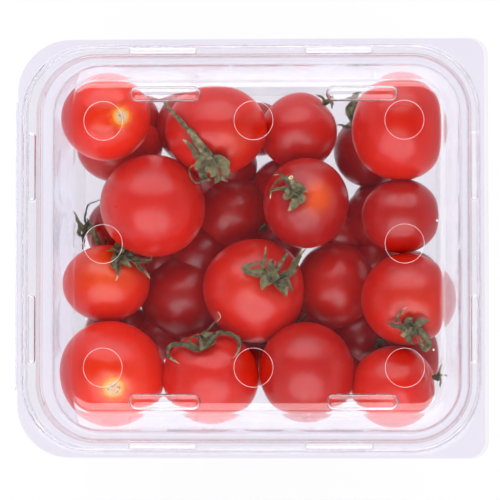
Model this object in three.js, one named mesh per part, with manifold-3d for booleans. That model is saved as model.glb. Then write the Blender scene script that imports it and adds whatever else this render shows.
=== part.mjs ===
// A punnet of cherry tomatoes: a shut, clear, hinged pack formed from thin sheet, filled to its lid.
// Millimetres, +Z up. The pack stands on its floor at z = 0, centred on the origin, hinge on the -X side.

import * as THREE from 'three';
import { mergeVertices } from 'three/addons/utils/BufferGeometryUtils.js';
import Module from 'manifold-3d';

const wasm = await Module();
wasm.setup();

// ---------------------------------------------------------------- driving dimensions

const SHEET = 0.6; // thickness of the clear sheet
const NEST_GAP = 0.35; // space between the tray's rim and the lid's rim that nests over it
const SEAM_Z = 36; // middle of that space, the height at which the two rims meet
const PANEL_Z = 52; // top face of the lid's flat panel

const WELL = box(1.6, 61.2, 55.2, 15); // mouth of the tray, and foot of the lid's raised wall
const FLOOR = box(1.6, 55.6, 49.6, 11); // where the tray's wall turns into its floor
const PANEL = box(1.6, 54.8, 48.3, 7); // where the lid's wall turns into its panel
const FLOOR_BEND = 2.2; // the turn from floor to wall
const SHOULDER = 1.8; // the rounded turn from wall to panel

const RIDGE = { innerFoot: 2.5, innerTop: 3.1, outerTop: 4.7, outerFoot: 5.3, height: 2.0 };
const HINGE_SIDE_STRETCH = 1.6; // the rim is this much wider along the hinge
const TRAY_EDGE = edge(-69.15, 71.1, 63.0, 16, 5.5); // rounded at the hinge, square tabs to pull open
const LID_EDGE = edge(-70.3, 69.8, 62.7, 16, 5.2);

const FLUTES = { long: 4, short: 3, depth: 1.3, plainShare: 0.065, shoulder: 0.24 };
const PLAIN = { long: 0, short: 0 }; // an outline without flutes
const FLUTE_BOTTOM = { z: 3.2, fullZ: 6.0 };
const FLUTE_TOP = { z: 28.5, fullZ: 25.0 };

const VENT = { diameter: 11.5, pitchX: 44.4, pitchY: 36.4, shiftX: -0.2, shiftY: 0.65, sides: 16 };
const LUG = { length: 21.2, width: 4.6, x: 29.0, y: 45.3, top: 53.8, bottom: 51.55 };
const LUG_SHIFT = { x: 2.75, y: -0.45 }; // the lugs stand off centre, towards the side that opens
const SNAP = { length: 21.0, width: 3.0, top: 39.5, bottom: 38.4, alongLong: 26.4, alongShort: 24.4 };
const BAR_END_STEPS = 4; // flat sides to each rounded end of a lug or snap
const HINGE = { x: -70.3, radius: 0.8, from: -42.5, to: 44.0 };

const HEAP_CORE = { inset: 15, corner: 12, bottom: 17, top: 28 }; // joins the tomatoes in the middle
const CLEARANCE = 0.55; // between the fruit and the sheet all round
const CONTACT_DENT = 0.2; // how far two touching tomatoes press into each other

// Each tomato: where it is seen from above, its width and its depth there, and how firmly it keeps
// that place while the heap settles. The upper ones are fully seen, the lower ones only in part.
const UPPER_HOLD = 0.3;
const TOMATOES = [
  { x: -43.5, y: 39.5, wide: 26.5, deep: 26.5, upper: true },
  { x: -29.5, y: 13.0, wide: 32.0, deep: 31.0, upper: true },
  { x: -11.5, y: 35.0, wide: 30.0, deep: 27.5, upper: true },
  { x: 13.9, y: 35.9, wide: 23.5, deep: 23.5, upper: true },
  { x: 45.0, y: 36.0, wide: 28.5, deep: 32.5, upper: true },
  { x: 16.5, y: 13.5, wide: 26.0, deep: 27.0, upper: true },
  { x: 45.0, y: 9.5, wide: 23.5, deep: 22.5, upper: true },
  { x: -44.0, y: -10.5, wide: 26.5, deep: 23.5, upper: true },
  { x: 1.0, y: -13.0, wide: 31.0, deep: 31.0, upper: true },
  { x: 48.0, y: -15.0, wide: 28.0, deep: 27.5, upper: true },
  { x: -43.0, y: -38.5, wide: 32.5, deep: 31.0, upper: true },
  { x: -12.0, y: -38.5, wide: 29.0, deep: 27.5, upper: true },
  { x: 17.5, y: -37.0, wide: 28.5, deep: 29.5, upper: true },
  { x: 41.5, y: -42.5, wide: 25.0, deep: 24.5, upper: true },
  { x: -23.5, y: -15.0, wide: 26.0, deep: 26.0, hold: 0.1 },
  { x: -7.0, y: 11.5, wide: 24.0, deep: 24.0, hold: 0.1 },
  { x: 27.0, y: -11.0, wide: 24.5, deep: 26.5, hold: 0.1 },
  { x: -40.0, y: 33.0, wide: 26.5, deep: 22.5, hold: 0.05 },
  { x: -39.5, y: 6.5, wide: 22.0, deep: 22.0, hold: 0.02 },
  { x: 15.5, y: 19.0, wide: 20.5, deep: 20.5, hold: 0.03 },
  { x: 37.5, y: 31.5, wide: 22.0, deep: 22.0, hold: 0.03 },
  { x: 39.0, y: 8.5, wide: 22.0, deep: 22.0, hold: 0.03 },
  { x: 3.5, y: -30.5, wide: 21.5, deep: 21.5, hold: 0.01 },
  { x: -39.5, y: -23.0, wide: 20.5, deep: 20.5, hold: 0.05 },
  { x: 24.5, y: -34.5, wide: 21.5, deep: 21.5, hold: 0.01 },
  { x: 46.0, y: -33.0, wide: 23.0, deep: 23.0, hold: 0.03 },
  { x: -17.0, y: -38.5, wide: 19.5, deep: 19.5, hold: 0.03 },
  { x: -16.5, y: 36.0, wide: 23.5, deep: 23.5, hold: 0.03 },
  { x: 1.5, y: 38.0, wide: 16.5, deep: 16.5, hold: 0.05 },
  { x: 49.5, y: -12.0, wide: 21.5, deep: 21.5, hold: 0.01 },
];
const SETTLE = {
  rounds: 500,
  fallingShare: 0.7,
  fall: 0.15,
  wallPasses: 3,
  upperStart: 35,
  lowerStart: 12.5,
};

// Each dried calyx: the tomato it sits on, which way its stem end faces seen from above, how long its
// sepals are, how it is turned, and its stalk as a step away from it.
const CALYXES = [
  { on: 2, x: -0.07, y: -0.68, reach: 7.0, turn: 0.4, stalk: [-14.0, 14.0, 2.0] },
  { on: 3, x: 0.65, y: 0.62, reach: 6.0, turn: 0.2, stalk: [1.5, 1.0, 1.5] },
  { on: 5, x: -0.25, y: 0.19, reach: 6.0, turn: 0.9, stalk: [-0.4, 2.6, 1.4] },
  { on: 7, x: 0.34, y: 0.68, reach: 8.0, turn: 0.1, stalk: [-2.0, 1.0, 2.0] },
  { on: 8, x: 0.36, y: 0.22, reach: 7.5, turn: 0.6, stalk: [2.6, 4.6, 2.0] },
  { on: 9, x: 0.06, y: -0.56, reach: 6.5, turn: 0.3, stalk: [-2.8, -2.2, 1.0] },
  { on: 11, x: -0.05, y: 0.72, reach: 7.5, turn: 0.8, stalk: [2.8, 2.0, 2.0] },
  { on: 18, x: -0.85, y: 0.05, reach: 5.5, turn: 0.7, stalk: [-0.6, 0.6, 2.5] },
  { on: 20, x: -0.33, y: 0.72, reach: 6.5, turn: 0.2, stalk: [-1.0, 2.0, 2.5] },
];
const SEPALS = 5;
const SEPAL = { width: 2.2, thickness: 0.5, steps: 3, lift: 0.5, wave: 0.6 };
const STALK = { radius: 0.9, sides: 5, steps: 2, rise: 0.3 };
const BALL_DETAIL = { upper: 2, lower: 1 }; // how finely a tomato's faces are split

const CORNER_STEPS = 5; // flat sides to each rounded corner of the pack

// ---------------------------------------------------------------- outlines

function box(centreX, halfX, halfY, corner) {
  return edge(centreX - halfX, centreX + halfX, halfY, corner, corner);
}

function edge(left, right, halfY, cornerLeft, cornerRight) {
  return { left, right, halfY, cornerLeft, cornerRight };
}

function grow(outline, by) {
  return {
    left: outline.left - by,
    right: outline.right + by,
    halfY: outline.halfY + by,
    cornerLeft: outline.cornerLeft + by,
    cornerRight: outline.cornerRight + by,
  };
}

function between(a, b, share) {
  const mixed = {};
  for (const key of Object.keys(a)) mixed[key] = THREE.MathUtils.lerp(a[key], b[key], share);
  return mixed;
}

// The rim's outline at a distance out from the well, wider on the hinge side.
function rim(out) {
  const outline = grow(WELL, out);
  outline.left = WELL.left - out * HINGE_SIDE_STRETCH;
  return outline;
}

// The shares of a straight side at which its points lie: a plain stretch, then every flute as a
// start, a shoulder and a shoulder, then a plain stretch. Without flutes there is the start alone.
function sideShares(flutes) {
  const shares = [{ at: 0, bulge: 0 }];
  const span = (1 - 2 * FLUTES.plainShare) / flutes;
  for (let flute = 0; flute < flutes; flute += 1) {
    const start = FLUTES.plainShare + flute * span;
    shares.push({ at: start, bulge: 0 });
    shares.push({ at: start + span * FLUTES.shoulder, bulge: 1 });
    shares.push({ at: start + span * (1 - FLUTES.shoulder), bulge: 1 });
  }
  if (flutes > 0) shares.push({ at: 1 - FLUTES.plainShare, bulge: 0 });
  return shares;
}

// A rounded rectangle as points, counterclockwise from the front end of its right side. Each point
// knows its outward direction and how much a flute pushes it out.
function outlinePoints(outline, flutes) {
  const { left, right, halfY, cornerLeft, cornerRight } = outline;
  const corners = [
    { x: right - cornerRight, y: halfY - cornerRight, radius: cornerRight },
    { x: left + cornerLeft, y: halfY - cornerLeft, radius: cornerLeft },
    { x: left + cornerLeft, y: cornerLeft - halfY, radius: cornerLeft },
    { x: right - cornerRight, y: cornerRight - halfY, radius: cornerRight },
  ];
  const points = [];
  for (let quarter = 0; quarter < 4; quarter += 1) {
    const from = corners[(quarter + 3) % 4];
    const to = corners[quarter];
    const angle = (quarter * Math.PI) / 2;
    const out = new THREE.Vector2(Math.cos(angle), Math.sin(angle));
    const start = new THREE.Vector2(from.x, from.y).addScaledVector(out, from.radius);
    const end = new THREE.Vector2(to.x, to.y).addScaledVector(out, to.radius);
    const onSide = quarter % 2 === 0 ? flutes.short : flutes.long;
    for (const share of sideShares(onSide)) {
      points.push({ place: start.clone().lerp(end, share.at), out, bulge: share.bulge });
    }
    for (let step = 0; step < CORNER_STEPS; step += 1) {
      const turn = angle + ((step / CORNER_STEPS) * Math.PI) / 2;
      const bent = new THREE.Vector2(Math.cos(turn), Math.sin(turn));
      const place = new THREE.Vector2(to.x, to.y).addScaledVector(bent, to.radius);
      points.push({ place, out: bent, bulge: 0 });
    }
  }
  return points;
}

// ---------------------------------------------------------------- formed sheet

// The middle surface of a sheet as rings of points, from levels that give an outline, a height and
// how far the flutes stand out there.
function sheetRings(levels, flutes) {
  return levels.map(({ outline, z, flute = 0 }) =>
    outlinePoints(outline, flutes).map(({ place, out, bulge }) => {
      const pushed = place.clone().addScaledVector(out, bulge * flute * FLUTES.depth);
      return new THREE.Vector3(pushed.x, pushed.y, z);
    }),
  );
}

// The direction that the sheet's upper face looks at one point, stretched so that an offset along it
// keeps the sheet's thickness on both sides of a bend.
function mitre(rings, level, index) {
  const ring = rings[level];
  const count = ring.length;
  const around = ring[(index + 1) % count].clone().sub(ring[(index + count - 1) % count]);
  const faces = [];
  if (level > 0) {
    const along = ring[index].clone().sub(rings[level - 1][index]);
    faces.push(along.cross(around).normalize());
  }
  if (level < rings.length - 1) {
    const along = rings[level + 1][index].clone().sub(ring[index]);
    faces.push(along.cross(around).normalize());
  }
  const middle = faces[0].clone().add(faces.at(-1)).normalize();
  return middle.divideScalar(middle.dot(faces[0]));
}

// A closed sheet of even thickness whose middle surface is flat inside its first ring.
function formedSheet(levels, flutes) {
  const rings = sheetRings(levels, flutes);
  const count = rings[0].length;
  const positions = [];
  const indices = [];
  const upward = rings.map((ring, level) => ring.map((_, index) => mitre(rings, level, index)));
  for (const side of [1, -1]) {
    rings.forEach((ring, level) =>
      ring.forEach((point, index) => {
        const offset = upward[level][index].clone().multiplyScalar((side * SHEET) / 2);
        positions.push(...point.clone().add(offset).toArray());
      }),
    );
  }
  const perSide = rings.length * count;
  const vertex = (side, level, index) => side * perSide + level * count + (index % count);
  const face = (a, b, c, flipped) => indices.push(...(flipped ? [a, c, b] : [a, b, c]));
  for (const side of [0, 1]) {
    const flipped = side === 1;
    for (let level = 0; level < rings.length - 1; level += 1) {
      for (let index = 0; index < count; index += 1) {
        const inner = vertex(side, level, index);
        const outer = vertex(side, level + 1, index);
        const outerNext = vertex(side, level + 1, index + 1);
        const innerNext = vertex(side, level, index + 1);
        face(inner, outer, outerNext, flipped);
        face(inner, outerNext, innerNext, flipped);
      }
    }
    const centre = positions.length / 3;
    const flatZ = levels[0].z + (flipped ? -SHEET / 2 : SHEET / 2);
    positions.push((levels[0].outline.left + levels[0].outline.right) / 2, 0, flatZ);
    for (let index = 0; index < count; index += 1) {
      face(centre, vertex(side, 0, index), vertex(side, 0, index + 1), flipped);
    }
  }
  const last = rings.length - 1;
  for (let index = 0; index < count; index += 1) {
    face(vertex(0, last, index), vertex(1, last, index), vertex(1, last, index + 1), false);
    face(vertex(0, last, index), vertex(1, last, index + 1), vertex(0, last, index + 1), false);
  }
  return geometryFrom(positions, indices);
}

// The rim's levels from the ledge out to the flange's edge, lifted off the tray's rim by lift.
function rimLevels(flatZ, lift, edgeOutline) {
  const { innerFoot, innerTop, outerTop, outerFoot, height } = RIDGE;
  const slope = Math.atan2(height, innerTop - innerFoot);
  const spread = lift * Math.tan(slope / 2); // how far an offset moves the ridge's bends sideways
  return [
    { outline: rim(innerFoot - spread), z: flatZ },
    { outline: rim(innerTop - spread), z: flatZ + height },
    { outline: rim(outerTop + spread), z: flatZ + height },
    { outline: rim(outerFoot + spread), z: flatZ },
    { outline: edgeOutline, z: flatZ },
  ];
}

// ---------------------------------------------------------------- solids

function geometryFrom(positions, indices) {
  const geometry = new THREE.BufferGeometry();
  geometry.setAttribute('position', new THREE.Float32BufferAttribute(positions, 3));
  geometry.setIndex(indices);
  return geometry;
}

function solidOf(source) {
  const geometry = source.clone();
  geometry.deleteAttribute('normal');
  geometry.deleteAttribute('uv');
  const merged = mergeVertices(geometry, 1e-4);
  return new wasm.Manifold(
    new wasm.Mesh({
      numProp: 3,
      vertProperties: new Float32Array(merged.attributes.position.array),
      triVerts: new Uint32Array(merged.index.array),
    }),
  );
}

function geometryOf(solid) {
  const mesh = solid.getMesh();
  return geometryFrom([...mesh.vertProperties], [...mesh.triVerts]);
}

// An upright bar with round ends, lying along X, or along Y when turned.
function roundEndedBar({ length, width, top, bottom }, x, y, turned) {
  const radius = width / 2;
  const reach = length / 2 - radius;
  const shape = new THREE.Shape();
  shape.moveTo(-reach, -radius);
  shape.absarc(reach, 0, radius, -Math.PI / 2, Math.PI / 2, false);
  shape.absarc(-reach, 0, radius, Math.PI / 2, (3 * Math.PI) / 2, false);
  const bar = new THREE.ExtrudeGeometry(shape, {
    depth: top - bottom,
    bevelEnabled: false,
    curveSegments: BAR_END_STEPS,
  });
  if (turned) bar.rotateZ(Math.PI / 2);
  bar.translate(x, y, bottom);
  return solidOf(bar);
}

// ---------------------------------------------------------------- tray and lid

function buildTray() {
  const floorZ = SHEET / 2;
  const flangeZ = SEAM_Z - NEST_GAP / 2 - SHEET / 2;
  const wall = (z) => between(FLOOR, WELL, z / SEAM_Z);
  return formedSheet(
    [
      { outline: grow(FLOOR, -FLOOR_BEND), z: floorZ },
      { outline: wall(FLUTE_BOTTOM.z), z: FLUTE_BOTTOM.z },
      { outline: wall(FLUTE_BOTTOM.fullZ), z: FLUTE_BOTTOM.fullZ, flute: 1 },
      { outline: wall(FLUTE_TOP.fullZ), z: FLUTE_TOP.fullZ, flute: 1 },
      { outline: wall(FLUTE_TOP.z), z: FLUTE_TOP.z },
      { outline: wall(flangeZ - 0.9), z: flangeZ - 0.9 },
      { outline: grow(WELL, 0.7), z: flangeZ },
      ...rimLevels(flangeZ, 0, TRAY_EDGE),
    ],
    FLUTES,
  );
}

function buildLid() {
  const flangeZ = SEAM_Z + NEST_GAP / 2 + SHEET / 2;
  const panelZ = PANEL_Z - SHEET / 2;
  const sheet = formedSheet(
    [
      { outline: grow(PANEL, -SHOULDER), z: panelZ },
      { outline: grow(PANEL, -SHOULDER / 4), z: panelZ - SHOULDER / 4 },
      { outline: PANEL, z: panelZ - SHOULDER },
      { outline: between(WELL, PANEL, 0.06), z: flangeZ + 1.0 },
      { outline: grow(WELL, 0.5), z: flangeZ },
      ...rimLevels(flangeZ, SHEET + NEST_GAP, LID_EDGE),
    ],
    PLAIN,
  );
  const centreX = (PANEL.left + PANEL.right) / 2;
  let lid = solidOf(sheet);
  for (const column of [-1, 0, 1]) {
    for (const row of [-1, 0, 1]) {
      if (column === 0 && row === 0) continue; // the middle of the panel is whole
      const hole = new THREE.CylinderGeometry(VENT.diameter / 2, VENT.diameter / 2, 3, VENT.sides);
      hole.rotateX(Math.PI / 2);
      const holeX = centreX + VENT.shiftX + column * VENT.pitchX;
      hole.translate(holeX, VENT.shiftY + row * VENT.pitchY, panelZ);
      lid = lid.subtract(solidOf(hole));
    }
  }
  const ridgeMiddle = (RIDGE.innerTop + RIDGE.outerTop) / 2;
  const ridge = rim(ridgeMiddle);
  for (const sideX of [-1, 1]) {
    for (const sideY of [-1, 1]) {
      const lugX = centreX + LUG_SHIFT.x + sideX * LUG.x;
      lid = lid.add(roundEndedBar(LUG, lugX, LUG_SHIFT.y + sideY * LUG.y, false));
      lid = lid.add(roundEndedBar(SNAP, sideX * SNAP.alongLong, sideY * ridge.halfY, false));
      const ridgeX = sideX > 0 ? ridge.right : ridge.left;
      lid = lid.add(roundEndedBar(SNAP, ridgeX, sideY * SNAP.alongShort, true));
    }
  }
  const bead = new THREE.CylinderGeometry(HINGE.radius, HINGE.radius, HINGE.to - HINGE.from, 8);
  bead.translate(HINGE.x, (HINGE.from + HINGE.to) / 2, SEAM_Z);
  return geometryOf(lid.add(solidOf(bead)));
}

// ---------------------------------------------------------------- the heap of tomatoes

// How deep a place lies inside a wall that runs on from the bottom outline to the top outline.
function depthInside(place, bottom, bottomZ, top, topZ) {
  const outline = between(bottom, top, (place.z - bottomZ) / (topZ - bottomZ));
  const fromMiddle = Math.abs(place.x - (outline.left + outline.right) / 2);
  const pastX = fromMiddle - (outline.right - outline.left) / 2 + outline.cornerRight;
  const pastY = Math.abs(place.y) - outline.halfY + outline.cornerRight;
  const round = Math.hypot(Math.max(pastX, 0), Math.max(pastY, 0));
  return outline.cornerRight - round - Math.min(Math.max(pastX, pastY), 0) - SHEET / 2 - CLEARANCE;
}

// Pushes a fruit square off a leaning wall until its skin is clear of it.
function keepOffWall(fruit, depthAt) {
  const here = depthAt(fruit.centre);
  const inward = new THREE.Vector3();
  for (const axis of ['x', 'y', 'z']) {
    const beside = fruit.centre.clone();
    beside[axis] += 0.01;
    inward[axis] = (depthAt(beside) - here) / 0.01;
  }
  const steepness = inward.length();
  inward.divideScalar(steepness);
  const missing = Math.max(fruit.halfX, fruit.halfY) - here / steepness;
  if (missing > 0) fruit.centre.addScaledVector(inward, missing);
}

function keepInside(fruit) {
  for (let pass = 0; pass < SETTLE.wallPasses; pass += 1) {
    keepOffWall(fruit, (place) => depthInside(place, FLOOR, 0, WELL, SEAM_Z));
    keepOffWall(fruit, (place) => depthInside(place, WELL, SEAM_Z, PANEL, PANEL_Z));
  }
  const lowest = SHEET + CLEARANCE + fruit.radius;
  const highest = PANEL_Z - SHEET - CLEARANCE - fruit.radius;
  fruit.centre.z = THREE.MathUtils.clamp(fruit.centre.z, lowest, highest);
}

function pushApart(a, b) {
  const step = a.centre.clone().sub(b.centre);
  const distance = step.length();
  const needed = a.radius + b.radius - CONTACT_DENT;
  if (distance >= needed) return;
  step.multiplyScalar((needed - distance) / distance / 2);
  a.centre.add(step);
  b.centre.sub(step);
}

// The tomatoes sink, hold to the places they are seen in, push each other apart and stay in the pack.
function settledHeap() {
  const heap = TOMATOES.map(({ x, y, wide, deep, upper, hold }) => ({
    seen: new THREE.Vector2(x, y),
    centre: new THREE.Vector3(x, y, upper ? SETTLE.upperStart : SETTLE.lowerStart),
    halfX: wide / 2,
    halfY: deep / 2,
    radius: (wide + deep) / 4,
    hold: upper ? UPPER_HOLD : hold,
    detail: upper ? BALL_DETAIL.upper : BALL_DETAIL.lower,
  }));
  for (let round = 0; round < SETTLE.rounds; round += 1) {
    const fall = round < SETTLE.rounds * SETTLE.fallingShare ? SETTLE.fall : 0;
    for (const fruit of heap) {
      fruit.centre.x += (fruit.seen.x - fruit.centre.x) * fruit.hold;
      fruit.centre.y += (fruit.seen.y - fruit.centre.y) * fruit.hold;
      fruit.centre.z -= fall;
    }
    for (let i = 1; i < heap.length; i += 1) {
      for (let j = 0; j < i; j += 1) pushApart(heap[i], heap[j]);
    }
    heap.forEach(keepInside);
  }
  return heap;
}

function tomatoSolid(fruit) {
  const ball = new THREE.IcosahedronGeometry(1, fruit.detail);
  ball.scale(fruit.halfX, fruit.halfY, fruit.radius);
  ball.translate(fruit.centre.x, fruit.centre.y, fruit.centre.z);
  return solidOf(ball);
}

// The stem end of a tomato: the point on its skin, the way it faces and two directions across it.
function stemEnd(fruit, calyx) {
  const up = Math.sqrt(Math.max(1 - calyx.x ** 2 - calyx.y ** 2, 0));
  const place = new THREE.Vector3(calyx.x * fruit.halfX, calyx.y * fruit.halfY, up * fruit.radius);
  const out = new THREE.Vector3(calyx.x, calyx.y, up).normalize();
  const across = new THREE.Vector3(0, 0, 1).cross(out).normalize();
  return { place: place.add(fruit.centre), out, across, over: out.clone().cross(across) };
}

// A sepal: a thin leaf that starts under the stalk, follows the fruit's skin and lifts towards its tip.
function sepalSolid(fruit, stem, angle, reach) {
  const along = stem.across.clone().multiplyScalar(Math.cos(angle));
  along.addScaledVector(stem.over, Math.sin(angle));
  const sideways = stem.out.clone().cross(along);
  const positions = [];
  for (let step = 0; step <= SEPAL.steps; step += 1) {
    const share = step / SEPAL.steps;
    const gone = reach * share;
    const drop = (gone ** 2 / (2 * fruit.radius)) * (1 - SEPAL.lift);
    const wave = SEPAL.wave * Math.sin(share * Math.PI * 1.5 + angle) ** 2;
    const spine = stem.place.clone().addScaledVector(along, gone);
    spine.addScaledVector(stem.out, wave * share - drop);
    const halfWidth = (SEPAL.width / 2) * (1 - 0.8 * share ** 1.5);
    for (const [side, face] of [[1, 1], [-1, 1], [-1, -1], [1, -1]]) {
      const corner = spine.clone().addScaledVector(sideways, side * halfWidth);
      corner.addScaledVector(stem.out, (face * SEPAL.thickness) / 2);
      positions.push(...corner.toArray());
    }
  }
  return solidOf(geometryFrom(positions, barFaces(SEPAL.steps, 4)));
}

// The faces of a closed bar whose sections, each a ring of points, follow one another in a list.
function barFaces(steps, sides) {
  const indices = [];
  for (let step = 0; step < steps; step += 1) {
    for (let side = 0; side < sides; side += 1) {
      const a = step * sides + side;
      const b = step * sides + ((side + 1) % sides);
      indices.push(a, b, b + sides, a, b + sides, a + sides);
    }
  }
  const last = steps * sides;
  for (let side = 1; side < sides - 1; side += 1) {
    indices.push(0, side + 1, side);
    indices.push(last, last + side, last + side + 1);
  }
  return indices;
}

// A stalk that leaves the stem end straight out and bends over to its cut end.
function stalkSolid(stem, step) {
  const start = stem.place.clone().addScaledVector(stem.out, -1.5);
  const end = stem.place.clone().add(new THREE.Vector3(...step));
  const bend = stem.place.clone().addScaledVector(stem.out, stem.place.distanceTo(end) * STALK.rise);
  const path = new THREE.QuadraticBezierCurve3(start, bend, end);
  const shape = new THREE.Shape();
  for (let side = 0; side < STALK.sides; side += 1) {
    const angle = (side / STALK.sides) * Math.PI * 2;
    const point = [STALK.radius * Math.cos(angle), STALK.radius * Math.sin(angle)];
    if (side === 0) shape.moveTo(...point);
    else shape.lineTo(...point);
  }
  return solidOf(new THREE.ExtrudeGeometry(shape, { steps: STALK.steps, extrudePath: path }));
}

function calyxSolids(fruit, calyx) {
  const stem = stemEnd(fruit, calyx);
  const pieces = [stalkSolid(stem, calyx.stalk)];
  for (let sepal = 0; sepal < SEPALS; sepal += 1) {
    const angle = calyx.turn + (sepal / SEPALS) * Math.PI * 2;
    pieces.push(sepalSolid(fruit, stem, angle, calyx.reach * (sepal % 2 === 0 ? 1 : 0.8)));
  }
  return pieces;
}

function coreSolid() {
  const { corner } = HEAP_CORE;
  const outline = { ...grow(WELL, -HEAP_CORE.inset), cornerLeft: corner, cornerRight: corner };
  const flat = outlinePoints(outline, PLAIN);
  const shape = new THREE.Shape(flat.map(({ place }) => place));
  const core = new THREE.ExtrudeGeometry(shape, {
    depth: HEAP_CORE.top - HEAP_CORE.bottom,
    bevelEnabled: false,
  });
  core.translate(0, 0, HEAP_CORE.bottom);
  return solidOf(core);
}

function buildHeap() {
  const heap = settledHeap();
  let solid = coreSolid();
  for (const fruit of heap) solid = solid.add(tomatoSolid(fruit));
  for (const calyx of CALYXES) {
    for (const piece of calyxSolids(heap[calyx.on], calyx)) solid = solid.add(piece);
  }
  return geometryOf(solid);
}

// ---------------------------------------------------------------- the punnet

function named(name, geometry, colour, roughness) {
  const material = new THREE.MeshStandardMaterial({ color: colour, roughness, metalness: 0 });
  const mesh = new THREE.Mesh(geometry, material);
  mesh.name = name;
  return mesh;
}

const punnet = new THREE.Group();
punnet.add(named('tray', buildTray(), 0xe4e7f2, 0.12));
punnet.add(named('lid', buildLid(), 0xeceef8, 0.12));
punnet.add(named('tomatoes', buildHeap(), 0xc4211b, 0.35));

export default punnet;
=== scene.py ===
# %% [markdown]
# # A punnet of cherry tomatoes, seen through its clear lid
#
# The real object is a shut pack formed from one thin clear sheet: a fluted tray, a living hinge and a
# domed lid with round air holes. It is full of cherry tomatoes in two layers, some with a dried calyx.
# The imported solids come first, because they fix every size. The looks are then built around them:
# the film as a fine thin mesh, every tomato as its own round fruit, and the green parts on top.

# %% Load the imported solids
import math
import random

import bmesh
import bpy
import numpy as np
from mathutils import Matrix, Vector


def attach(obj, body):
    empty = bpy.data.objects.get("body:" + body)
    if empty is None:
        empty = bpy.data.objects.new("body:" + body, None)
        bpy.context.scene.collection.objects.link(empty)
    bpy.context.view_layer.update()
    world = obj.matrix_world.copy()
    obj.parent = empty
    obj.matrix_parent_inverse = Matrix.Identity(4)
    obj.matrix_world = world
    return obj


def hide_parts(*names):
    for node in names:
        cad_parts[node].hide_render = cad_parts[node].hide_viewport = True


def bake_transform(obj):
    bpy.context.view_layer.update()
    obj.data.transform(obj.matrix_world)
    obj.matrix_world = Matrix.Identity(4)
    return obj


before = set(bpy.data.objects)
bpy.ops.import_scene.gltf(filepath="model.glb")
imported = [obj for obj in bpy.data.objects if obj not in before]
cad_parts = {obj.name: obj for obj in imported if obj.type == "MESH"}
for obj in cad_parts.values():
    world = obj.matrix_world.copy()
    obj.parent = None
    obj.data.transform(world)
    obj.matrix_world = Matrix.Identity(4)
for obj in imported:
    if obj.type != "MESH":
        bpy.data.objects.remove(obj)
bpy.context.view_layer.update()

MM = 0.001

# %% [markdown]
# ## The camera
#
# The photo looks straight down through a long lens, with the rims of the pack 0.3 mm to the pixel. The
# lid's edges sit a little to the left of and above the tray's, so the camera stands slightly to the
# right and to the front. A camera object has no "look at" setting that is safe for a view straight
# down, so its three axes are worked out here, with +Y of the pack kept up in the picture.

# %% Camera above the pack
RIM_Z = 36.0
PHOTO_PIXELS = 500
MM_PER_PIXEL = 0.30
CAMERA_DISTANCE = 800.0
CAMERA_LEAN = (0.043, -0.0375)
AIM = Vector((-0.3, -0.6, RIM_Z))
SENSOR = 36.0


def add_object(name, data):
    """An object that puts its data into the scene."""
    made = bpy.data.objects.new(name, data)
    bpy.context.scene.collection.objects.link(made)
    return made


def add_camera():
    data = bpy.data.cameras.new("camera")
    camera = add_object("camera", data)
    back = Vector((*CAMERA_LEAN, 1.0)).normalized()
    right = Vector((0, 1, 0)).cross(back).normalized()
    up = back.cross(right)
    camera.matrix_world = Matrix.Translation((AIM + back * CAMERA_DISTANCE) * MM) @ Matrix(
        (right, up, back)
    ).transposed().to_4x4()
    data.sensor_width = SENSOR
    data.lens = SENSOR * CAMERA_DISTANCE / (PHOTO_PIXELS * MM_PER_PIXEL)
    data.clip_start, data.clip_end = 0.05, 20
    bpy.context.scene.camera = camera
    return camera


camera = add_camera()
print("camera lens", round(camera.data.lens), "mm, at", [round(value, 3) for value in camera.location])

# %% [markdown]
# ## Materials as sums
#
# A shader is easier to read as a sum than as a row of nodes. This class wraps one socket. Its operators
# add the Math nodes that a sum needs, also when the plain number comes first, as in `1 - mask`. Every
# other node comes from `node`, which takes the node's type, its settings and its sockets.

# %% A wire that can be used in a sum
class Wire:
    """One output socket of a shader tree."""

    def __init__(self, tree, socket=None):
        self.tree = tree
        self.socket = socket

    def node(self, kind, settings=None, inputs=None, output=0):
        made = self.tree.nodes.new(kind)
        for name, value in (settings or {}).items():
            setattr(made, name, value)
        for name, value in (inputs or {}).items():
            self.feed(made.inputs[name], value)
        return Wire(self.tree, made.outputs[output])

    def feed(self, socket, value):
        """Links a wire to a socket, or sets a plain number or colour on it."""
        if isinstance(value, Wire):
            self.tree.links.new(value.socket, socket)
        elif isinstance(value, tuple) and len(value) == 3 and socket.type == "RGBA":
            socket.default_value = (*value, 1.0)
        else:
            socket.default_value = value

    def _maths(self, operation, first, second):
        return self.node("ShaderNodeMath", {"operation": operation}, {0: first, 1: second})

    def __add__(self, other):
        return self._maths("ADD", self, other)

    def __sub__(self, other):
        return self._maths("SUBTRACT", self, other)

    def __mul__(self, other):
        return self._maths("MULTIPLY", self, other)

    def __rsub__(self, other):
        return self._maths("SUBTRACT", other, self)

    __radd__ = __add__
    __rmul__ = __mul__

    def clamped(self, low, high):
        """0 below low, 1 above high and a smooth step between them."""
        return self.node(
            "ShaderNodeMapRange",
            {"interpolation_type": "SMOOTHSTEP"},
            {"Value": self, "From Min": low, "From Max": high},
        )

    def mixed(self, first, second):
        """Colour first where this wire is 0, and colour second where it is 1."""
        return self.node(
            "ShaderNodeMix",
            {"data_type": "RGBA"},
            {"Factor": self, 6: first, 7: second},
            output=2,
        )


def new_material(name, **constants):
    """A material with one Principled shader, its plain settings, and a wire to start sums from."""
    material = bpy.data.materials.new(name)
    material.use_nodes = True
    shader = material.node_tree.nodes["Principled BSDF"]
    for socket, value in constants.items():
        shader.inputs[socket.replace("_", " ")].default_value = value
    return material, shader, Wire(material.node_tree)


def drive(wires, shader, **sockets):
    """Feeds wires or colours into the shader's named sockets."""
    for socket, value in sockets.items():
        wires.feed(shader.inputs[socket.replace("_", " ")], value)


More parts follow.
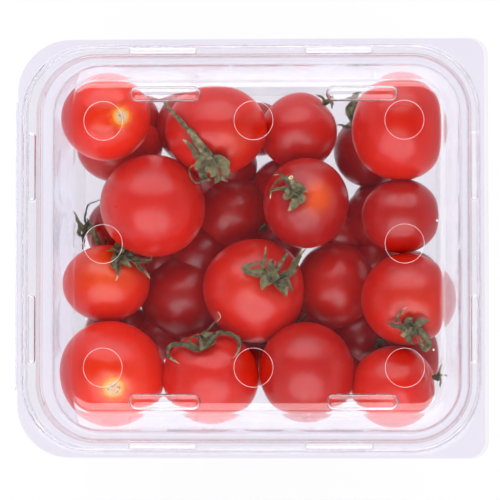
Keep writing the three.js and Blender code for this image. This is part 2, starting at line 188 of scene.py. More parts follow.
def on_object(wires):
    """The place of each point on its own object, in metres."""
    return wires.node("ShaderNodeTexCoord", output=3)


def coordinate(wires, place, axis):
    """One coordinate of a place: axis 0 is X, 1 is Y and 2 is Z."""
    return wires.node("ShaderNodeSeparateXYZ", {}, {0: place}, output=axis)


def noise(wires, place, scale, detail=2.0):
    return wires.node("ShaderNodeTexNoise", {}, {"Vector": place, "Scale": scale, "Detail": detail})


def stored(wires, name):
    """A number that the mesh keeps on its points."""
    return wires.node("ShaderNodeAttribute", {"attribute_name": name}, output=2)


def bump(wires, height, strength, distance):
    return wires.node("ShaderNodeBump", {}, {"Height": height, "Strength": strength, "Distance": distance})


# %% [markdown]
# ## Light and floor
#
# The round highlights tell how the pack was lit. Each tomato has one broad soft highlight towards the
# back and one towards the front, and stays deep red between them. So two large soft panels stand about
# half-way up, one behind and one in front, and it is darker overhead. An area light is the simplest soft
# panel: its size sets how soft the light is. The floor is a plain pale sheet that glows, so that it is
# nearly white in the light and in the shade.

# %% Two soft panels, a dim sky and a pale floor
PANEL_DISTANCE = 1.0
PANEL_RADIANCE = 3.1
FLOOR_SIZE, FLOOR_SQUARES = 8, 8
FLOOR_SINK = 0.0001
FLOOR_GLOW = 0.87


def add_panel(name, azimuth, elevation, width, height, radiance):
    """A soft panel that looks at the pack from a direction. Radiance is the brightness of its face."""
    data = bpy.data.lights.new(name, "AREA")
    data.shape = "ELLIPSE"
    data.size, data.size_y = width, height
    data.energy = radiance * math.pi * width * height * math.pi / 4
    panel = add_object(name, data)
    turn, rise = math.radians(azimuth), math.radians(elevation)
    out = Vector((math.sin(turn) * math.cos(rise), -math.cos(turn) * math.cos(rise), math.sin(rise)))
    panel.location = out * PANEL_DISTANCE + Vector((0, 0, RIM_Z * MM))
    panel.rotation_euler = out.to_track_quat("Z", "Y").to_euler()
    panel.visible_camera = False


def add_sky(zenith, horizon):
    world = bpy.data.worlds.new("sky")
    bpy.context.scene.world = world
    world.use_nodes = True
    wires = Wire(world.node_tree)
    direction = wires.node("ShaderNodeTexCoord")
    sky = coordinate(wires, direction, 2).clamped(0.0, 0.8).mixed(horizon, zenith)
    wires.feed(world.node_tree.nodes["Background"].inputs["Color"], sky)


def add_floor():
    bpy.ops.mesh.primitive_grid_add(
        x_subdivisions=FLOOR_SQUARES,
        y_subdivisions=FLOOR_SQUARES,
        size=FLOOR_SIZE,
        location=(0, 0, -FLOOR_SINK),
    )
    floor = bpy.context.object
    floor.name = "floor"
    material, shader, wires = new_material("pale_floor", Roughness=0.9, Emission_Strength=FLOOR_GLOW)
    cloud = wires.node("ShaderNodeTexNoise", {}, {"Scale": 3.0, "Detail": 2.0})
    pale = cloud.mixed((0.985, 0.985, 0.995), (1.0, 1.0, 1.0))
    dim = cloud.mixed((0.09, 0.09, 0.092), (0.10, 0.10, 0.102))
    drive(wires, shader, Base_Color=dim, Emission_Color=pale)
    floor.data.materials.append(material)


add_panel("panel_front", 0, 50, 1.6, 1.25, PANEL_RADIANCE)
add_panel("panel_back", 180, 37, 1.7, 1.0, PANEL_RADIANCE)
add_sky((0.04, 0.04, 0.06), (0.80, 0.80, 0.84))
add_floor()
bpy.context.scene.view_settings.view_transform = "Standard"
bpy.context.scene.view_settings.look = "None"
bpy.context.scene.cycles.max_bounces = 24
bpy.context.scene.cycles.transmission_bounces = 20
bpy.context.scene.cycles.transparent_max_bounces = 24
bpy.context.scene.cycles.glossy_bounces = 6
bpy.context.scene.cycles.diffuse_bounces = 4
print("lights:", [light.name for light in bpy.data.lights])

# %% [markdown]
# ## The sizes of the pack
#
# These are the same outlines and heights that the solids have, in millimetres. An outline is a rounded
# rectangle: its left and right side, half its depth, and the radius of its corners on either side. As
# plain arrays of numbers they can be grown and mixed, so that a whole wall is a mix of two outlines.

# %% Outlines and heights in millimetres
FILM = 0.45  # the real sheet, a little thinner than the solids
SHEET = 0.6  # thickness of the solids, from whose middle the film's places are worked out
NEST_GAP = 0.35
PANEL_Z = 52.0


def outline(left, right, half_depth, corner_left, corner_right):
    return np.array([left, right, half_depth, corner_left, corner_right], float)


def box_outline(centre, half_width, half_depth, corner):
    return outline(centre - half_width, centre + half_width, half_depth, corner, corner)


def grown(shape, by):
    return shape + by * np.array([-1, 1, 1, 1, 1])


WELL = box_outline(1.6, 61.2, 55.2, 15)
FLOOR = box_outline(1.6, 55.6, 49.6, 11)
FLOOR_CORNER = grown(FLOOR, -0.2)  # where the middle of the film turns up into the wall
PANEL = box_outline(1.6, 54.8, 48.3, 7)
FLAT_FLOOR = grown(FLOOR, -8)  # inside these two the film is one flat face
FLAT_PANEL = grown(PANEL, -5)
TRAY_EDGE = outline(-70.25, 71.1, 63.0, 16, 5.5)
LID_EDGE = outline(-70.3, 69.8, 62.7, 16, 5.2)
RIDGE_OUT = (2.5, 3.1, 4.7, 5.3)
RIDGE_HEIGHT = 2.0
HINGE_SIDE_STRETCH = 1.6
FLUTES = {"long": 4, "short": 3}
FLUTE_DEPTH = 1.3
PLAIN_SHARE = 0.065

TRAY_FLANGE_Z = RIM_Z - NEST_GAP / 2 - SHEET / 2
LID_FLANGE_Z = RIM_Z + NEST_GAP / 2 + SHEET / 2
PANEL_MIDDLE_Z = PANEL_Z - SHEET / 2


def rim(out):
    shape = grown(WELL, out)
    shape[0] = WELL[0] - out * HINGE_SIDE_STRETCH
    return shape


print("flanges at", TRAY_FLANGE_Z, LID_FLANGE_Z, "panel at", PANEL_MIDDLE_Z)

# %% [markdown]
# ## A formed film
#
# A heated sheet that is sucked into a mould keeps nearly one thickness and turns every corner in a small
# arc. So the film is drawn as a stack of rings, each one outline at one height. Where two straight
# stretches meet, the corner is replaced by a short Bezier arc. Both faces of the film are then set off
# from this middle surface by half its thickness. A Solidify modifier could do that too, but it keeps
# a corner's thickness less evenly on such tight bends.

# %% Rings of points
POINTS = {"long": 112, "short": 98, "corner": 18}
ARC_STEPS = 6


def ring_places():
    """For each point of a ring: its side, its share of that side, and its turn in a corner."""
    places = []
    for quarter in range(4):
        side = "short" if quarter % 2 == 0 else "long"
        for step in range(POINTS[side]):
            places.append((quarter, step / POINTS[side], 0.0))
        for step in range(POINTS["corner"]):
            places.append((quarter, 1.0, step / POINTS["corner"]))
    return places


PLACES = ring_places()


def ring_points(shape):
    """The points of one outline and the outward direction at each, counterclockwise."""
    left, right, half, corner_left, corner_right = shape
    centres = [
        (right - corner_right, half - corner_right, corner_right),
        (left + corner_left, half - corner_left, corner_left),
        (left + corner_left, corner_left - half, corner_left),
        (right - corner_right, corner_right - half, corner_right),
    ]
    points, outward = [], []
    for quarter, share, turned in PLACES:
        angle = (quarter + turned) * math.pi / 2
        out = np.array([math.cos(angle), math.sin(angle)])
        end = np.array(centres[quarter][:2]) + out * centres[quarter][2]
        if turned == 0 and share < 1:
            before = centres[quarter - 1]
            start = np.array(before[:2]) + out * before[2]
            end = start + (end - start) * share
        points.append(end)
        outward.append(out)
    return np.array(points), np.array(outward)


def bent(levels, spacing=1.4):
    """A fine section from a few levels (outline, height, bend): straights, with an arc at each bend."""
    knots = [np.append(shape, z) for shape, z, _ in levels]
    bends = [bend for _, _, bend in levels]
    section = [knots[0]]

    def straight_to(end):
        start = section[-1]
        count = max(1, round(math.hypot(*(end - start)[[2, 5]]) / spacing))
        section.extend(start + (end - start) * step / count for step in range(1, count + 1))

    for before, knot, after, bend in zip(knots, knots[1:], knots[2:], bends[1:]):
        to_before, to_after = before - knot, after - knot
        start = knot + to_before * bend / math.hypot(*to_before[[2, 5]])
        end = knot + to_after * bend / math.hypot(*to_after[[2, 5]])
        straight_to(start)
        for step in range(1, ARC_STEPS + 1):
            share = step / ARC_STEPS
            section.append((1 - share) ** 2 * start + 2 * share * (1 - share) * knot + share**2 * end)
    straight_to(knots[-1])
    return section


# %% [markdown]
# ## The flutes
#
# The tray's walls are stiffened by shallow round bulges, four on a long side and three on a short one,
# with arched tops. One function says how far the wall stands out at a place along a side and a height.
# Pushing the film's own points keeps it one piece, as the real one is.

# %% How far a flute stands out
FLUTE_LOW = 3.5
FLUTE_TOP = 29.5
FLUTE_ARCH = 7.0
FLUTE_SOFTNESS = 3.0
FLUTE_FLANK = 0.45


def smooth(value):
    share = min(max(value, 0.0), 1.0)
    return share * share * (3 - 2 * share)


def flute_push(place, z):
    quarter, share, turned = place
    if turned > 0 or not PLAIN_SHARE < share < 1 - PLAIN_SHARE:
        return 0.0
    count = FLUTES["short" if quarter % 2 == 0 else "long"]
    along = (share - PLAIN_SHARE) / (1 - 2 * PLAIN_SHARE) * count
    across = 2 * (along % 1.0) - 1
    top = FLUTE_TOP - FLUTE_ARCH * (1 - math.sqrt(max(1 - across**2, 0.0)))
    inside = min(top - z, z - FLUTE_LOW) / FLUTE_SOFTNESS
    return FLUTE_DEPTH * smooth(inside) * smooth((1 - abs(across)) / FLUTE_FLANK)


# %% [markdown]
# ## Meshes from rings
#
# Nearly every piece here is a row of rings of points: the film, the bars, the fruit and the leaves. So a
# few helpers do what they share: faces between neighbouring rings, points merged where they meet, and
# numbers stored on the points for a material to read.

# %% Helpers for meshes
def hill(value, middle, width):
    """A round hill: 1 at its middle, and nearly 0 from twice its width on."""
    return math.exp(-(((value - middle) / width) ** 2))


def new_object(name, points, faces):
    """A mesh object from points in millimetres."""
    mesh = bpy.data.meshes.new(name)
    mesh.from_pydata([tuple(point) for point in np.asarray(points, float) * MM], [], faces)
    mesh.update()
    return add_object(name, mesh)


def ring_faces(rings, count, start=0, flip=False, closed=False):
    """Faces between neighbouring rings of count points. Flip turns them round; closed joins the ends."""
    faces = []
    for ring in range(rings if closed else rings - 1):
        near, far = start + ring * count, start + (ring + 1) % rings * count
        for index in range(count):
            after = (index + 1) % count
            if flip:
                faces.append((near + index, near + after, far + after, far + index))
            else:
                faces.append((near + index, far + index, far + after, near + after))
    return faces


def shade(piece, angle):
    """Smooth shading, with a crease wherever the surface turns by more than the angle."""
    piece.data.shade_smooth()
    piece.data.set_sharp_from_angle(angle=math.radians(angle))


def merge_poles(piece):
    """Merges the points that meet where a ball's first and last rings close, and shades it smooth."""
    mesh = bmesh.new()
    mesh.from_mesh(piece.data)
    bmesh.ops.remove_doubles(mesh, verts=mesh.verts, dist=1e-7)
    mesh.to_mesh(piece.data)
    mesh.free()
    piece.data.shade_smooth()


def store(piece, name, values):
    """Keeps one number on each point of the mesh."""
    attribute = piece.data.attributes.new(name, "FLOAT", "POINT")
    attribute.data.foreach_set("value", np.asarray(values, np.float32))


# %% [markdown]
# ## From a section to a closed film
#
# The rings of the film become a grid. The direction across the sheet at each point comes from the grid's
# own two directions, so it is right on walls, bends and flutes alike.

# %% Film mesh
def film_object(name, levels, flutes=False):
    section = bent(levels)
    grid = []
    for row in section:
        points, outward = ring_points(row[:5])
        if flutes:
            push = np.array([flute_push(place, row[5]) for place in PLACES])
            points = points + outward * push[:, None]
        grid.append(np.column_stack([points, np.full(len(points), row[5])]))
    grid = np.array(grid)
    around = np.roll(grid, -1, 1) - np.roll(grid, 1, 1)
    along = np.gradient(grid, axis=0)
    across = np.cross(along, around)
    across /= np.linalg.norm(across, axis=2, keepdims=True)
    rows, count = grid.shape[:2]
    points = np.concatenate([grid + across * FILM / 2, grid - across * FILM / 2]).reshape(-1, 3)
    over = ring_faces(rows, count)
    under = [tuple(rows * count + corner for corner in reversed(face)) for face in over]
    last, below = (rows - 1) * count, (2 * rows - 1) * count
    edge = []
    for index in range(count):
        after = (index + 1) % count
        edge.append((last + index, below + index, below + after, last + after))
    middle = [tuple(range(count)), tuple(rows * count + index for index in reversed(range(count)))]
    return new_object(name, points, over + under + edge + middle)


def rim_levels(flat_z, lift, edge):
    inner_foot, inner_top, outer_top, outer_foot = RIDGE_OUT
    slope = math.atan2(RIDGE_HEIGHT, inner_top - inner_foot)
    spread = lift * math.tan(slope / 2)
    return [
        (rim(inner_foot - spread), flat_z, 0.3),
        (rim(inner_top - spread), flat_z + RIDGE_HEIGHT, 0.4),
        (rim(outer_top + spread), flat_z + RIDGE_HEIGHT, 0.4),
        (rim(outer_foot + spread), flat_z, 0.3),
        (edge, flat_z, 0.0),
    ]


def wall_between(bottom, bottom_z, top, top_z, z):
    return bottom + (top - bottom) * (z - bottom_z) / (top_z - bottom_z)


# %% [markdown]
# ## The tray
#
# A flat floor, a rounded turn, fluted walls that lean out, a ledge, a raised ridge that keeps the lid in
# place, and a flat flange.

# %% Tray film
FLOOR_Z = FILM / 2
tray = film_object(
    "tray_film",
    [
        (FLAT_FLOOR, FLOOR_Z, 0.0),
        (FLOOR_CORNER, FLOOR_Z, 3.0),
        (wall_between(FLOOR, 0, WELL, RIM_Z, TRAY_FLANGE_Z), TRAY_FLANGE_Z, 0.9),
        *rim_levels(TRAY_FLANGE_Z, 0.0, TRAY_EDGE),
    ],
    flutes=True,
)
shade(tray, 40)
print("tray film:", len(tray.data.polygons), "faces")

# %% [markdown]
# ## The lid
#
# The lid repeats the rim, one film and a small gap higher, and rises in a steep wall to its flat panel.
# The raised bars on the panel and on the ridge are hollow bumps in the same film. Each is made as an
# outer shape that is joined on and an inner shape that is cut away, and the round air holes are cut
# last. Booleans fit here, because the real tool also punches and presses these details into a finished
# form.

# %% Rounded bars and cutters
BAR_END_POINTS = 10


def bar_ring(length, width, inset):
    """A round-ended bar's outline, narrowed all round by inset."""
    radius = width / 2 - inset
    reach = length / 2 - width / 2
    points = []
    for side in (1, -1):
        for step in range(BAR_END_POINTS + 1):
            angle = math.pi * (step / BAR_END_POINTS - side / 2)
            points.append((side * reach + radius * math.cos(angle), radius * math.sin(angle)))
    return points


def ring_solid(name, rings):
    """A closed solid from rings of points, each above the one before, with flat ends."""
    count = len(rings[0])
    top = (len(rings) - 1) * count
    faces = ring_faces(len(rings), count, flip=True)
    faces += [tuple(reversed(range(count))), tuple(range(top, top + count))]
    return new_object(name, [point for ring in rings for point in ring], faces)


def bar_object(name, place, turned, length, width, steps):
    """A solid round-ended bar from steps of (inset, height)."""
    rings = []
    for inset, z in steps:
        ring = bar_ring(length, width, inset)
        if turned:
            ring = [(-y, x) for x, y in ring]
        rings.append([(place[0] + x, place[1] + y, z) for x, y in ring])
    return ring_solid(name, rings)


def cylinder_object(name, place, radius, bottom, top, sides=48):
    turns = np.linspace(0, math.tau, sides, endpoint=False)
    ring = [(place[0] + radius * math.cos(turn), place[1] + radius * math.sin(turn)) for turn in turns]
    return ring_solid(name, [[(x, y, z) for x, y in ring] for z in (bottom, top)])


def combine(target, tools, operation):
    """Joins or cuts target with the tools by one Boolean modifier, and removes the tools."""
    mesh = bmesh.new()
    for tool in tools:
        mesh.from_mesh(tool.data)
        bpy.data.objects.remove(tool)
    joined = add_object("tools", bpy.data.meshes.new("tools"))
    mesh.to_mesh(joined.data)
    mesh.free()
    modifier = target.modifiers.new("combine", "BOOLEAN")
    modifier.operation = operation
    modifier.object = joined
    modifier.solver = "MANIFOLD"
    evaluated = target.evaluated_get(bpy.context.evaluated_depsgraph_get())
    result = bpy.data.meshes.new_from_object(evaluated)
    result.materials.clear()
    target.modifiers.clear()
    target.data = result
    bpy.data.objects.remove(joined)


# %% Lid film with its bars and air holes
PANEL_CENTRE_X = (PANEL[0] + PANEL[1]) / 2
VENT = {"radius": 5.75, "pitch_x": 44.4, "pitch_y": 36.4, "centre": (PANEL_CENTRE_X - 0.2, 0.65)}
CUT_FROM, CUT_TO = 50, 55  # heights of the round cutters
LUG = {"length": 21.2, "width": 4.6, "top": 53.75, "bottom": 50.9, "crown": 1.6}
LUG_CENTRE = (PANEL_CENTRE_X + 2.75, -0.45)
LUG_OFF = (29.0, 45.3)
SNAP = {"length": 21.0, "width": 2.6, "top": 39.4, "bottom": 38.2, "crown": 0.7}
SNAP_ALONG = {"long": 26.4, "short": 24.4}
BAR_STEPS = 7
CROWN_TURN, CROWN_SHARE = math.radians(82), 0.98

lid = film_object(
    "lid_film",
    [
        (FLAT_PANEL, PANEL_MIDDLE_Z, 0.0),
        (PANEL, PANEL_MIDDLE_Z, 2.1),
        (WELL, LID_FLANGE_Z, 0.9),
        *rim_levels(LID_FLANGE_Z, SHEET + NEST_GAP, LID_EDGE),
    ],
)


def bar_places():
    """Every raised bar: its sizes, its place and whether it lies along Y."""
    ridge = rim((RIDGE_OUT[1] + RIDGE_OUT[2]) / 2)
    for side_x in (-1, 1):
        for side_y in (-1, 1):
            yield LUG, (LUG_CENTRE[0] + side_x * LUG_OFF[0], LUG_CENTRE[1] + side_y * LUG_OFF[1]), False
            yield SNAP, (side_x * SNAP_ALONG["long"], side_y * ridge[2]), False
            yield SNAP, (ridge[1] if side_x > 0 else ridge[0], side_y * SNAP_ALONG["short"]), True


def bar_steps(bar, inset):
    """A bar's section as insets and heights: an upright foot and a rounded crown over it."""
    half, crown = bar["width"] / 2 - inset, bar["crown"] - inset / 2
    foot = bar["top"] - inset - crown
    steps = [(inset, bar["bottom"] - inset)]
    for step in range(BAR_STEPS):
        turn = CROWN_TURN * step / (BAR_STEPS - 1)
        steps.append((inset + half * CROWN_SHARE * (1 - math.cos(turn)), foot + crown * math.sin(turn)))
    return steps


outer_bars, inner_bars = [], []
for bar, place, turned in bar_places():
    size = (bar["length"], bar["width"])
    outer_bars.append(bar_object("outer_bar", place, turned, *size, bar_steps(bar, 0.0)))
    inner_bars.append(bar_object("inner_bar", place, turned, *size, bar_steps(bar, FILM)))
combine(lid, outer_bars, "UNION")
combine(lid, inner_bars, "DIFFERENCE")


def vent_places():
    for column in (-1, 0, 1):
        for row in (-1, 0, 1):
            if (column, row) != (0, 0):
                centre_x, centre_y = VENT["centre"]
                yield centre_x + column * VENT["pitch_x"], centre_y + row * VENT["pitch_y"]


holes = [cylinder_object("hole", place, VENT["radius"], CUT_FROM, CUT_TO) for place in vent_places()]
combine(lid, holes, "DIFFERENCE")
shade(lid, 40)
print("lid film:", len(lid.data.polygons), "faces")

# %% [markdown]
# ## The clear film's material
#
# Clear packing film is glass-like: it lets light through, mirrors a little at a steep angle and more at
# a flat one. A Principled shader with full transmission gives that. Light that reaches the fruit through
# such a film is hard to find for a path tracer, so shadow rays pass straight through, tinted as the film
# is. A drawn film is thin and bends light less than a solid edge would, so the wall beside the hinge, the
# rims and the tray are partly plain see-through. Fine scuffs vary how rough the film is, and the lid's
# stretched walls have a faint pale haze.

# %% Film material
CLEAR_SHARE, RIM_SHARE = 0.95, 0.7
HAZE = 0.075
# Each pair is the stretch of millimetres over which one part of the film fades into the next.
HINGE_WALL_FROM, HINGE_WALL_TO = (-62.3, -61.7), (-52.1, -50.9)
WALL_FOOT, RIM_TOP = (36.8, 38.5), (37.8, 39.0)
HAZE_FROM, HAZE_TO = (38.0, 40.0), (49.5, 51.2)


def film_material(name, tint):
    material, shader, wires = new_material(
        name, Base_Color=(*tint, 1.0), IOR=1.5, Transmission_Weight=0.9985
    )
    place = on_object(wires)
    scuffs = noise(wires, place, 900.0, 3.0)
    drive(wires, shader, Roughness=scuffs.clamped(0.45, 0.75) * 0.10 + 0.03)
    across = coordinate(wires, place, 0) * (1 / MM)
    height = coordinate(wires, place, 2) * (1 / MM)
    on_wall = (1 - across.clamped(*HINGE_WALL_TO)) * height.clamped(*WALL_FOOT)
    thin = on_wall * across.clamped(*HINGE_WALL_FROM) * CLEAR_SHARE
    thin = thin + (1 - height.clamped(*RIM_TOP)) * (1 - on_wall) * RIM_SHARE
    shadow = wires.node("ShaderNodeLightPath", output=1)
    see_through = shadow + (1 - shadow) * thin
    clear = wires.node("ShaderNodeBsdfTransparent", {}, {"Color": tint})
    pale = wires.node("ShaderNodeBsdfDiffuse", {}, {"Color": (0.95, 0.92, 0.95)})
    haze = height.clamped(*HAZE_FROM) * (1 - height.clamped(*HAZE_TO)) * (1 - on_wall) * HAZE
    hazy = wires.node("ShaderNodeMixShader", {}, {0: haze, 1: Wire(wires.tree, shader.outputs[0]), 2: pale})
    surface = wires.node("ShaderNodeMixShader", {}, {0: see_through, 1: hazy, 2: clear})
    wires.tree.links.new(surface.socket, wires.tree.nodes["Material Output"].inputs["Surface"])
    return material


tray.data.materials.append(film_material("clear_film_tray", (0.962, 0.945, 0.970)))
lid.data.materials.append(film_material("clear_film_lid", (0.955, 0.955, 0.990)))

# %% [markdown]
# ## The living hinge
#
# Tray and lid are one sheet, and along the left side only a narrow strip joins them. At rest the strip
# is a half round from the tray's flange up to the lid's. It has to bend as the lid opens; here it is a
# piece of its own, with the lid's film material.

# %% Hinge strip
HINGE_X = -70.3
HINGE_FROM, HINGE_TO = -42.5, 44.0
HINGE_STEPS, HINGE_TURNS = 40, 16


def add_hinge():
    radius = (LID_FLANGE_Z - TRAY_FLANGE_Z) / 2
    section = [
        (HINGE_X - r * math.sin(turn), RIM_Z - r * math.cos(turn))
        for r, turns in (
            (radius + FILM / 2, np.linspace(0, math.pi, HINGE_TURNS)),
            (radius - FILM / 2, np.linspace(math.pi, 0, HINGE_TURNS)),
        )
        for turn in turns
    ]
    count = len(section)
    rows = np.linspace(HINGE_FROM, HINGE_TO, HINGE_STEPS)
    points = [(x, y, z) for y in rows for x, z in section]
    faces = ring_faces(HINGE_STEPS, count)
    for side in range(HINGE_TURNS - 1):
        pair = (side, side + 1, count - 2 - side, count - 1 - side)
        faces.append(pair)
        faces.append(tuple((HINGE_STEPS - 1) * count + index for index in reversed(pair)))
    hinge = new_object("hinge_film", points, faces)
    shade(hinge, 50)
    hinge.data.materials.append(lid.data.materials[0])
    return hinge


hinge = add_hinge()
print("hinge film:", len(hinge.data.polygons), "faces")

# %% [markdown]
# ## The punched edges of the air holes
#
# A punched edge is where a clear film shows best: it is rough, so it catches light from all sides and
# draws a thin pale ring. The rings are eight slim square-cut hoops in one joined mesh.

# %% Vent rims
RIM_SIDES = 64
RIM_HALF = 0.055
RIM_BELOW, RIM_ABOVE = 0.02, 0.04


def add_vent_rims():
    points, faces = [], []
    low, high = PANEL_MIDDLE_Z - FILM / 2 - RIM_BELOW, PANEL_MIDDLE_Z + FILM / 2 + RIM_ABOVE
    inner, outer = VENT["radius"] - RIM_HALF, VENT["radius"] + RIM_HALF
    section = ((inner, low), (outer, low), (outer, high), (inner, high))
    for x, y in vent_places():
        start = len(points)
        for turn in np.linspace(0, math.tau, RIM_SIDES, endpoint=False):
            for radius, z in section:
                points.append((x + radius * math.cos(turn), y + radius * math.sin(turn), z))
        faces += ring_faces(RIM_SIDES, len(section), start, closed=True)
    rims = new_object("vent_rims", points, faces)
    shade(rims, 40)
    return rims


def rim_material():
    material, shader, wires = new_material("punched_edge", Transmission_Weight=0.35, IOR=1.5)
    burr = noise(wires, on_object(wires), 500.0)
    drive(
        wires,
        shader,
        Base_Color=burr.clamped(0.35, 0.65).mixed((0.78, 0.62, 0.68), (0.98, 0.94, 0.97)),
        Roughness=burr * 0.3 + 0.25,
    )
    return material


vent_rims = add_vent_rims()
vent_rims.data.materials.append(rim_material())
print("vent rims:", len(vent_rims.data.polygons), "faces")

# %% [markdown]
# ## Where the tomatoes lie
#
# Each tomato starts from the place and the width it shows from above. Its height isn't seen, so the
# heap is left to settle by the same simple rule that the solids follow: sink a little, hold to the
# place that was seen, push neighbours apart, and stay inside the walls. It is a handful of lines where
# a rigid-body simulation would need many settings, and it gives the same result on each run. Some
# small fruit then fill the heap's core, where the solids have a plain one.

# %% Settle the heap
CLEARANCE = 0.55
CONTACT_DENT = 0.2
UPPER_HOLD = 0.3
ROUNDS = 500
FALLING_SHARE = 0.7
FALL = 0.15
WALL_PASSES = 3
UPPER_START, LOWER_START = 35.0, 12.5
PROBE = 0.01

# x, y, width and depth of the tomatoes that lie on top, as the photo shows them.
UPPER = [
    (-43.5, 39.5, 26.5, 26.5), (-29.5, 13.0, 32.0, 31.0), (-11.5, 35.0, 30.0, 27.5),
    (13.9, 35.9, 23.5, 23.5), (45.0, 36.0, 28.5, 32.5), (16.5, 13.5, 26.0, 27.0),
    (45.0, 9.5, 23.5, 22.5), (-44.0, -10.5, 26.5, 23.5), (1.0, -13.0, 31.0, 31.0),
    (48.0, -15.0, 28.0, 27.5), (-43.0, -38.5, 32.5, 31.0), (-12.0, -38.5, 29.0, 27.5),
    (17.5, -37.0, 28.5, 29.5), (41.5, -42.5, 25.0, 24.5),
]
# The same of those below, which show in part, and how firmly each holds to its place.
LOWER = [
    (-23.5, -15.0, 26.0, 26.0, 0.1), (-7.0, 11.5, 24.0, 24.0, 0.1), (27.0, -11.0, 24.5, 26.5, 0.1),
    (-40.0, 33.0, 26.5, 22.5, 0.05), (-39.5, 6.5, 22.0, 22.0, 0.02), (15.5, 19.0, 20.5, 20.5, 0.03),
    (37.5, 31.5, 22.0, 22.0, 0.03), (39.0, 8.5, 22.0, 22.0, 0.03), (3.5, -30.5, 21.5, 21.5, 0.01),
    (-39.5, -23.0, 20.5, 20.5, 0.05), (24.5, -34.5, 21.5, 21.5, 0.01), (46.0, -33.0, 23.0, 23.0, 0.03),
    (-17.0, -38.5, 19.5, 19.5, 0.03), (-16.5, 36.0, 23.5, 23.5, 0.03), (1.5, 38.0, 16.5, 16.5, 0.05),
    (49.5, -12.0, 21.5, 21.5, 0.01),
]
TOMATOES = [(*fruit, UPPER_HOLD) for fruit in UPPER] + LOWER


def depth_inside(place, bottom, bottom_z, top, top_z):
    """How deep a place lies inside a wall that runs on from one outline to the other."""
    left, right, half, _, corner = wall_between(bottom, bottom_z, top, top_z, place[2])
    past_x = abs(place[0] - (left + right) / 2) - (right - left) / 2 + corner
    past_y = abs(place[1]) - half + corner
    round_part = math.hypot(max(past_x, 0.0), max(past_y, 0.0))
    return corner - round_part - min(max(past_x, past_y), 0.0) - SHEET / 2 - CLEARANCE


def keep_off_wall(centre, reach, wall):
    here = depth_inside(centre, *wall)
    inward = Vector((0, 0, 0))
    for axis in range(3):
        beside = centre.copy()
        beside[axis] += PROBE
        inward[axis] = (depth_inside(beside, *wall) - here) / PROBE
    steepness = inward.length
    missing = reach - here / steepness
    if missing > 0:
        centre += inward / steepness * missing


def settled_heap():
    heap = []
    for number, (x, y, wide, deep, hold) in enumerate(TOMATOES):
        start = UPPER_START if number < len(UPPER) else LOWER_START
        heap.append({
            "seen": (x, y),
            "centre": Vector((x, y, start)),
            "half": Vector((wide / 2, deep / 2, (wide + deep) / 4)),
            "hold": hold,
        })
    walls = [(FLOOR, 0, WELL, RIM_Z), (WELL, RIM_Z, PANEL, PANEL_Z)]
    for step in range(ROUNDS):
        fall = FALL if step < ROUNDS * FALLING_SHARE else 0.0
        for fruit in heap:
            centre = fruit["centre"]
            centre.x += (fruit["seen"][0] - centre.x) * fruit["hold"]
            centre.y += (fruit["seen"][1] - centre.y) * fruit["hold"]
            centre.z -= fall
        for number, fruit in enumerate(heap):
            for other in heap[:number]:
                apart = fruit["centre"] - other["centre"]
                needed = fruit["half"].z + other["half"].z - CONTACT_DENT
                if apart.length_squared < needed * needed:
                    push = apart * ((needed - apart.length) / apart.length / 2)
                    fruit["centre"] += push
                    other["centre"] -= push
        for fruit in heap:
            centre, half = fruit["centre"], fruit["half"]
            for _ in range(WALL_PASSES):
                for wall in walls:
                    keep_off_wall(centre, max(half.x, half.y), wall)
            lowest = SHEET + CLEARANCE + half.z
            highest = PANEL_Z - SHEET - CLEARANCE - half.z
            centre.z = min(max(centre.z, lowest), highest)
    return heap


# x, y, height and width of the small fruit deep in the heap, which show as dark red between the others.
DEEP_FRUIT = [
    (-36.5, 41.0, 13, 14.4), (-16.0, 22.5, 13, 18.0), (-8.2, 26.2, 12, 18.0), (8.2, 20.0, 12, 17.2),
    (-17.0, -1.5, 14, 19.0), (-29.5, -3.5, 13, 16.0), (7.0, 2.5, 13, 16.0), (27.0, 4.5, 13, 15.0),
    (38.0, -3.5, 13, 16.0), (36.0, 15.5, 11, 11.0), (15.5, -21.0, 13, 14.0), (32.5, -26.5, 14, 18.0),
    (-12.0, -24.5, 13, 14.0), (-29.5, -26.5, 13, 15.0),
]

heap = settled_heap()
for x, y, z, width in DEEP_FRUIT:
    heap.append({"centre": Vector((x, y, z)), "half": Vector((1, 1, 1)) * width / 2})
print("heap top", round(max(fruit["centre"].z + fruit["half"].z for fruit in heap), 1), "mm")

# %% [markdown]
# ## The shape of a tomato
#
# A cherry tomato is nearly a ball, with a shallow dimple and five soft lobes round its stem end and a
# tiny point at the other end. A grid of rings round the stem axis puts the mesh lines where that shape
# needs them. Each fruit gets its own slow unevenness from a seeded draw. The grid is then turned so
# that its stem end faces where the photo shows it, and stretched to the width and depth that are seen.

# %% One tomato's grid
SEGMENTS, RINGS = 60, 34
DIMPLE, SCAR_DIMPLE, DIMPLE_WIDTH = 0.075, 0.045, 0.30
LOBES, LOBE_ANGLE, LOBE_WIDTH = 5, 0.35, 0.28
LOBE_HEIGHTS = (0.004, 0.012)
POINT, POINT_WIDTH = 0.012, 0.07
WAVE_HEIGHTS = (0.006, 0.014)


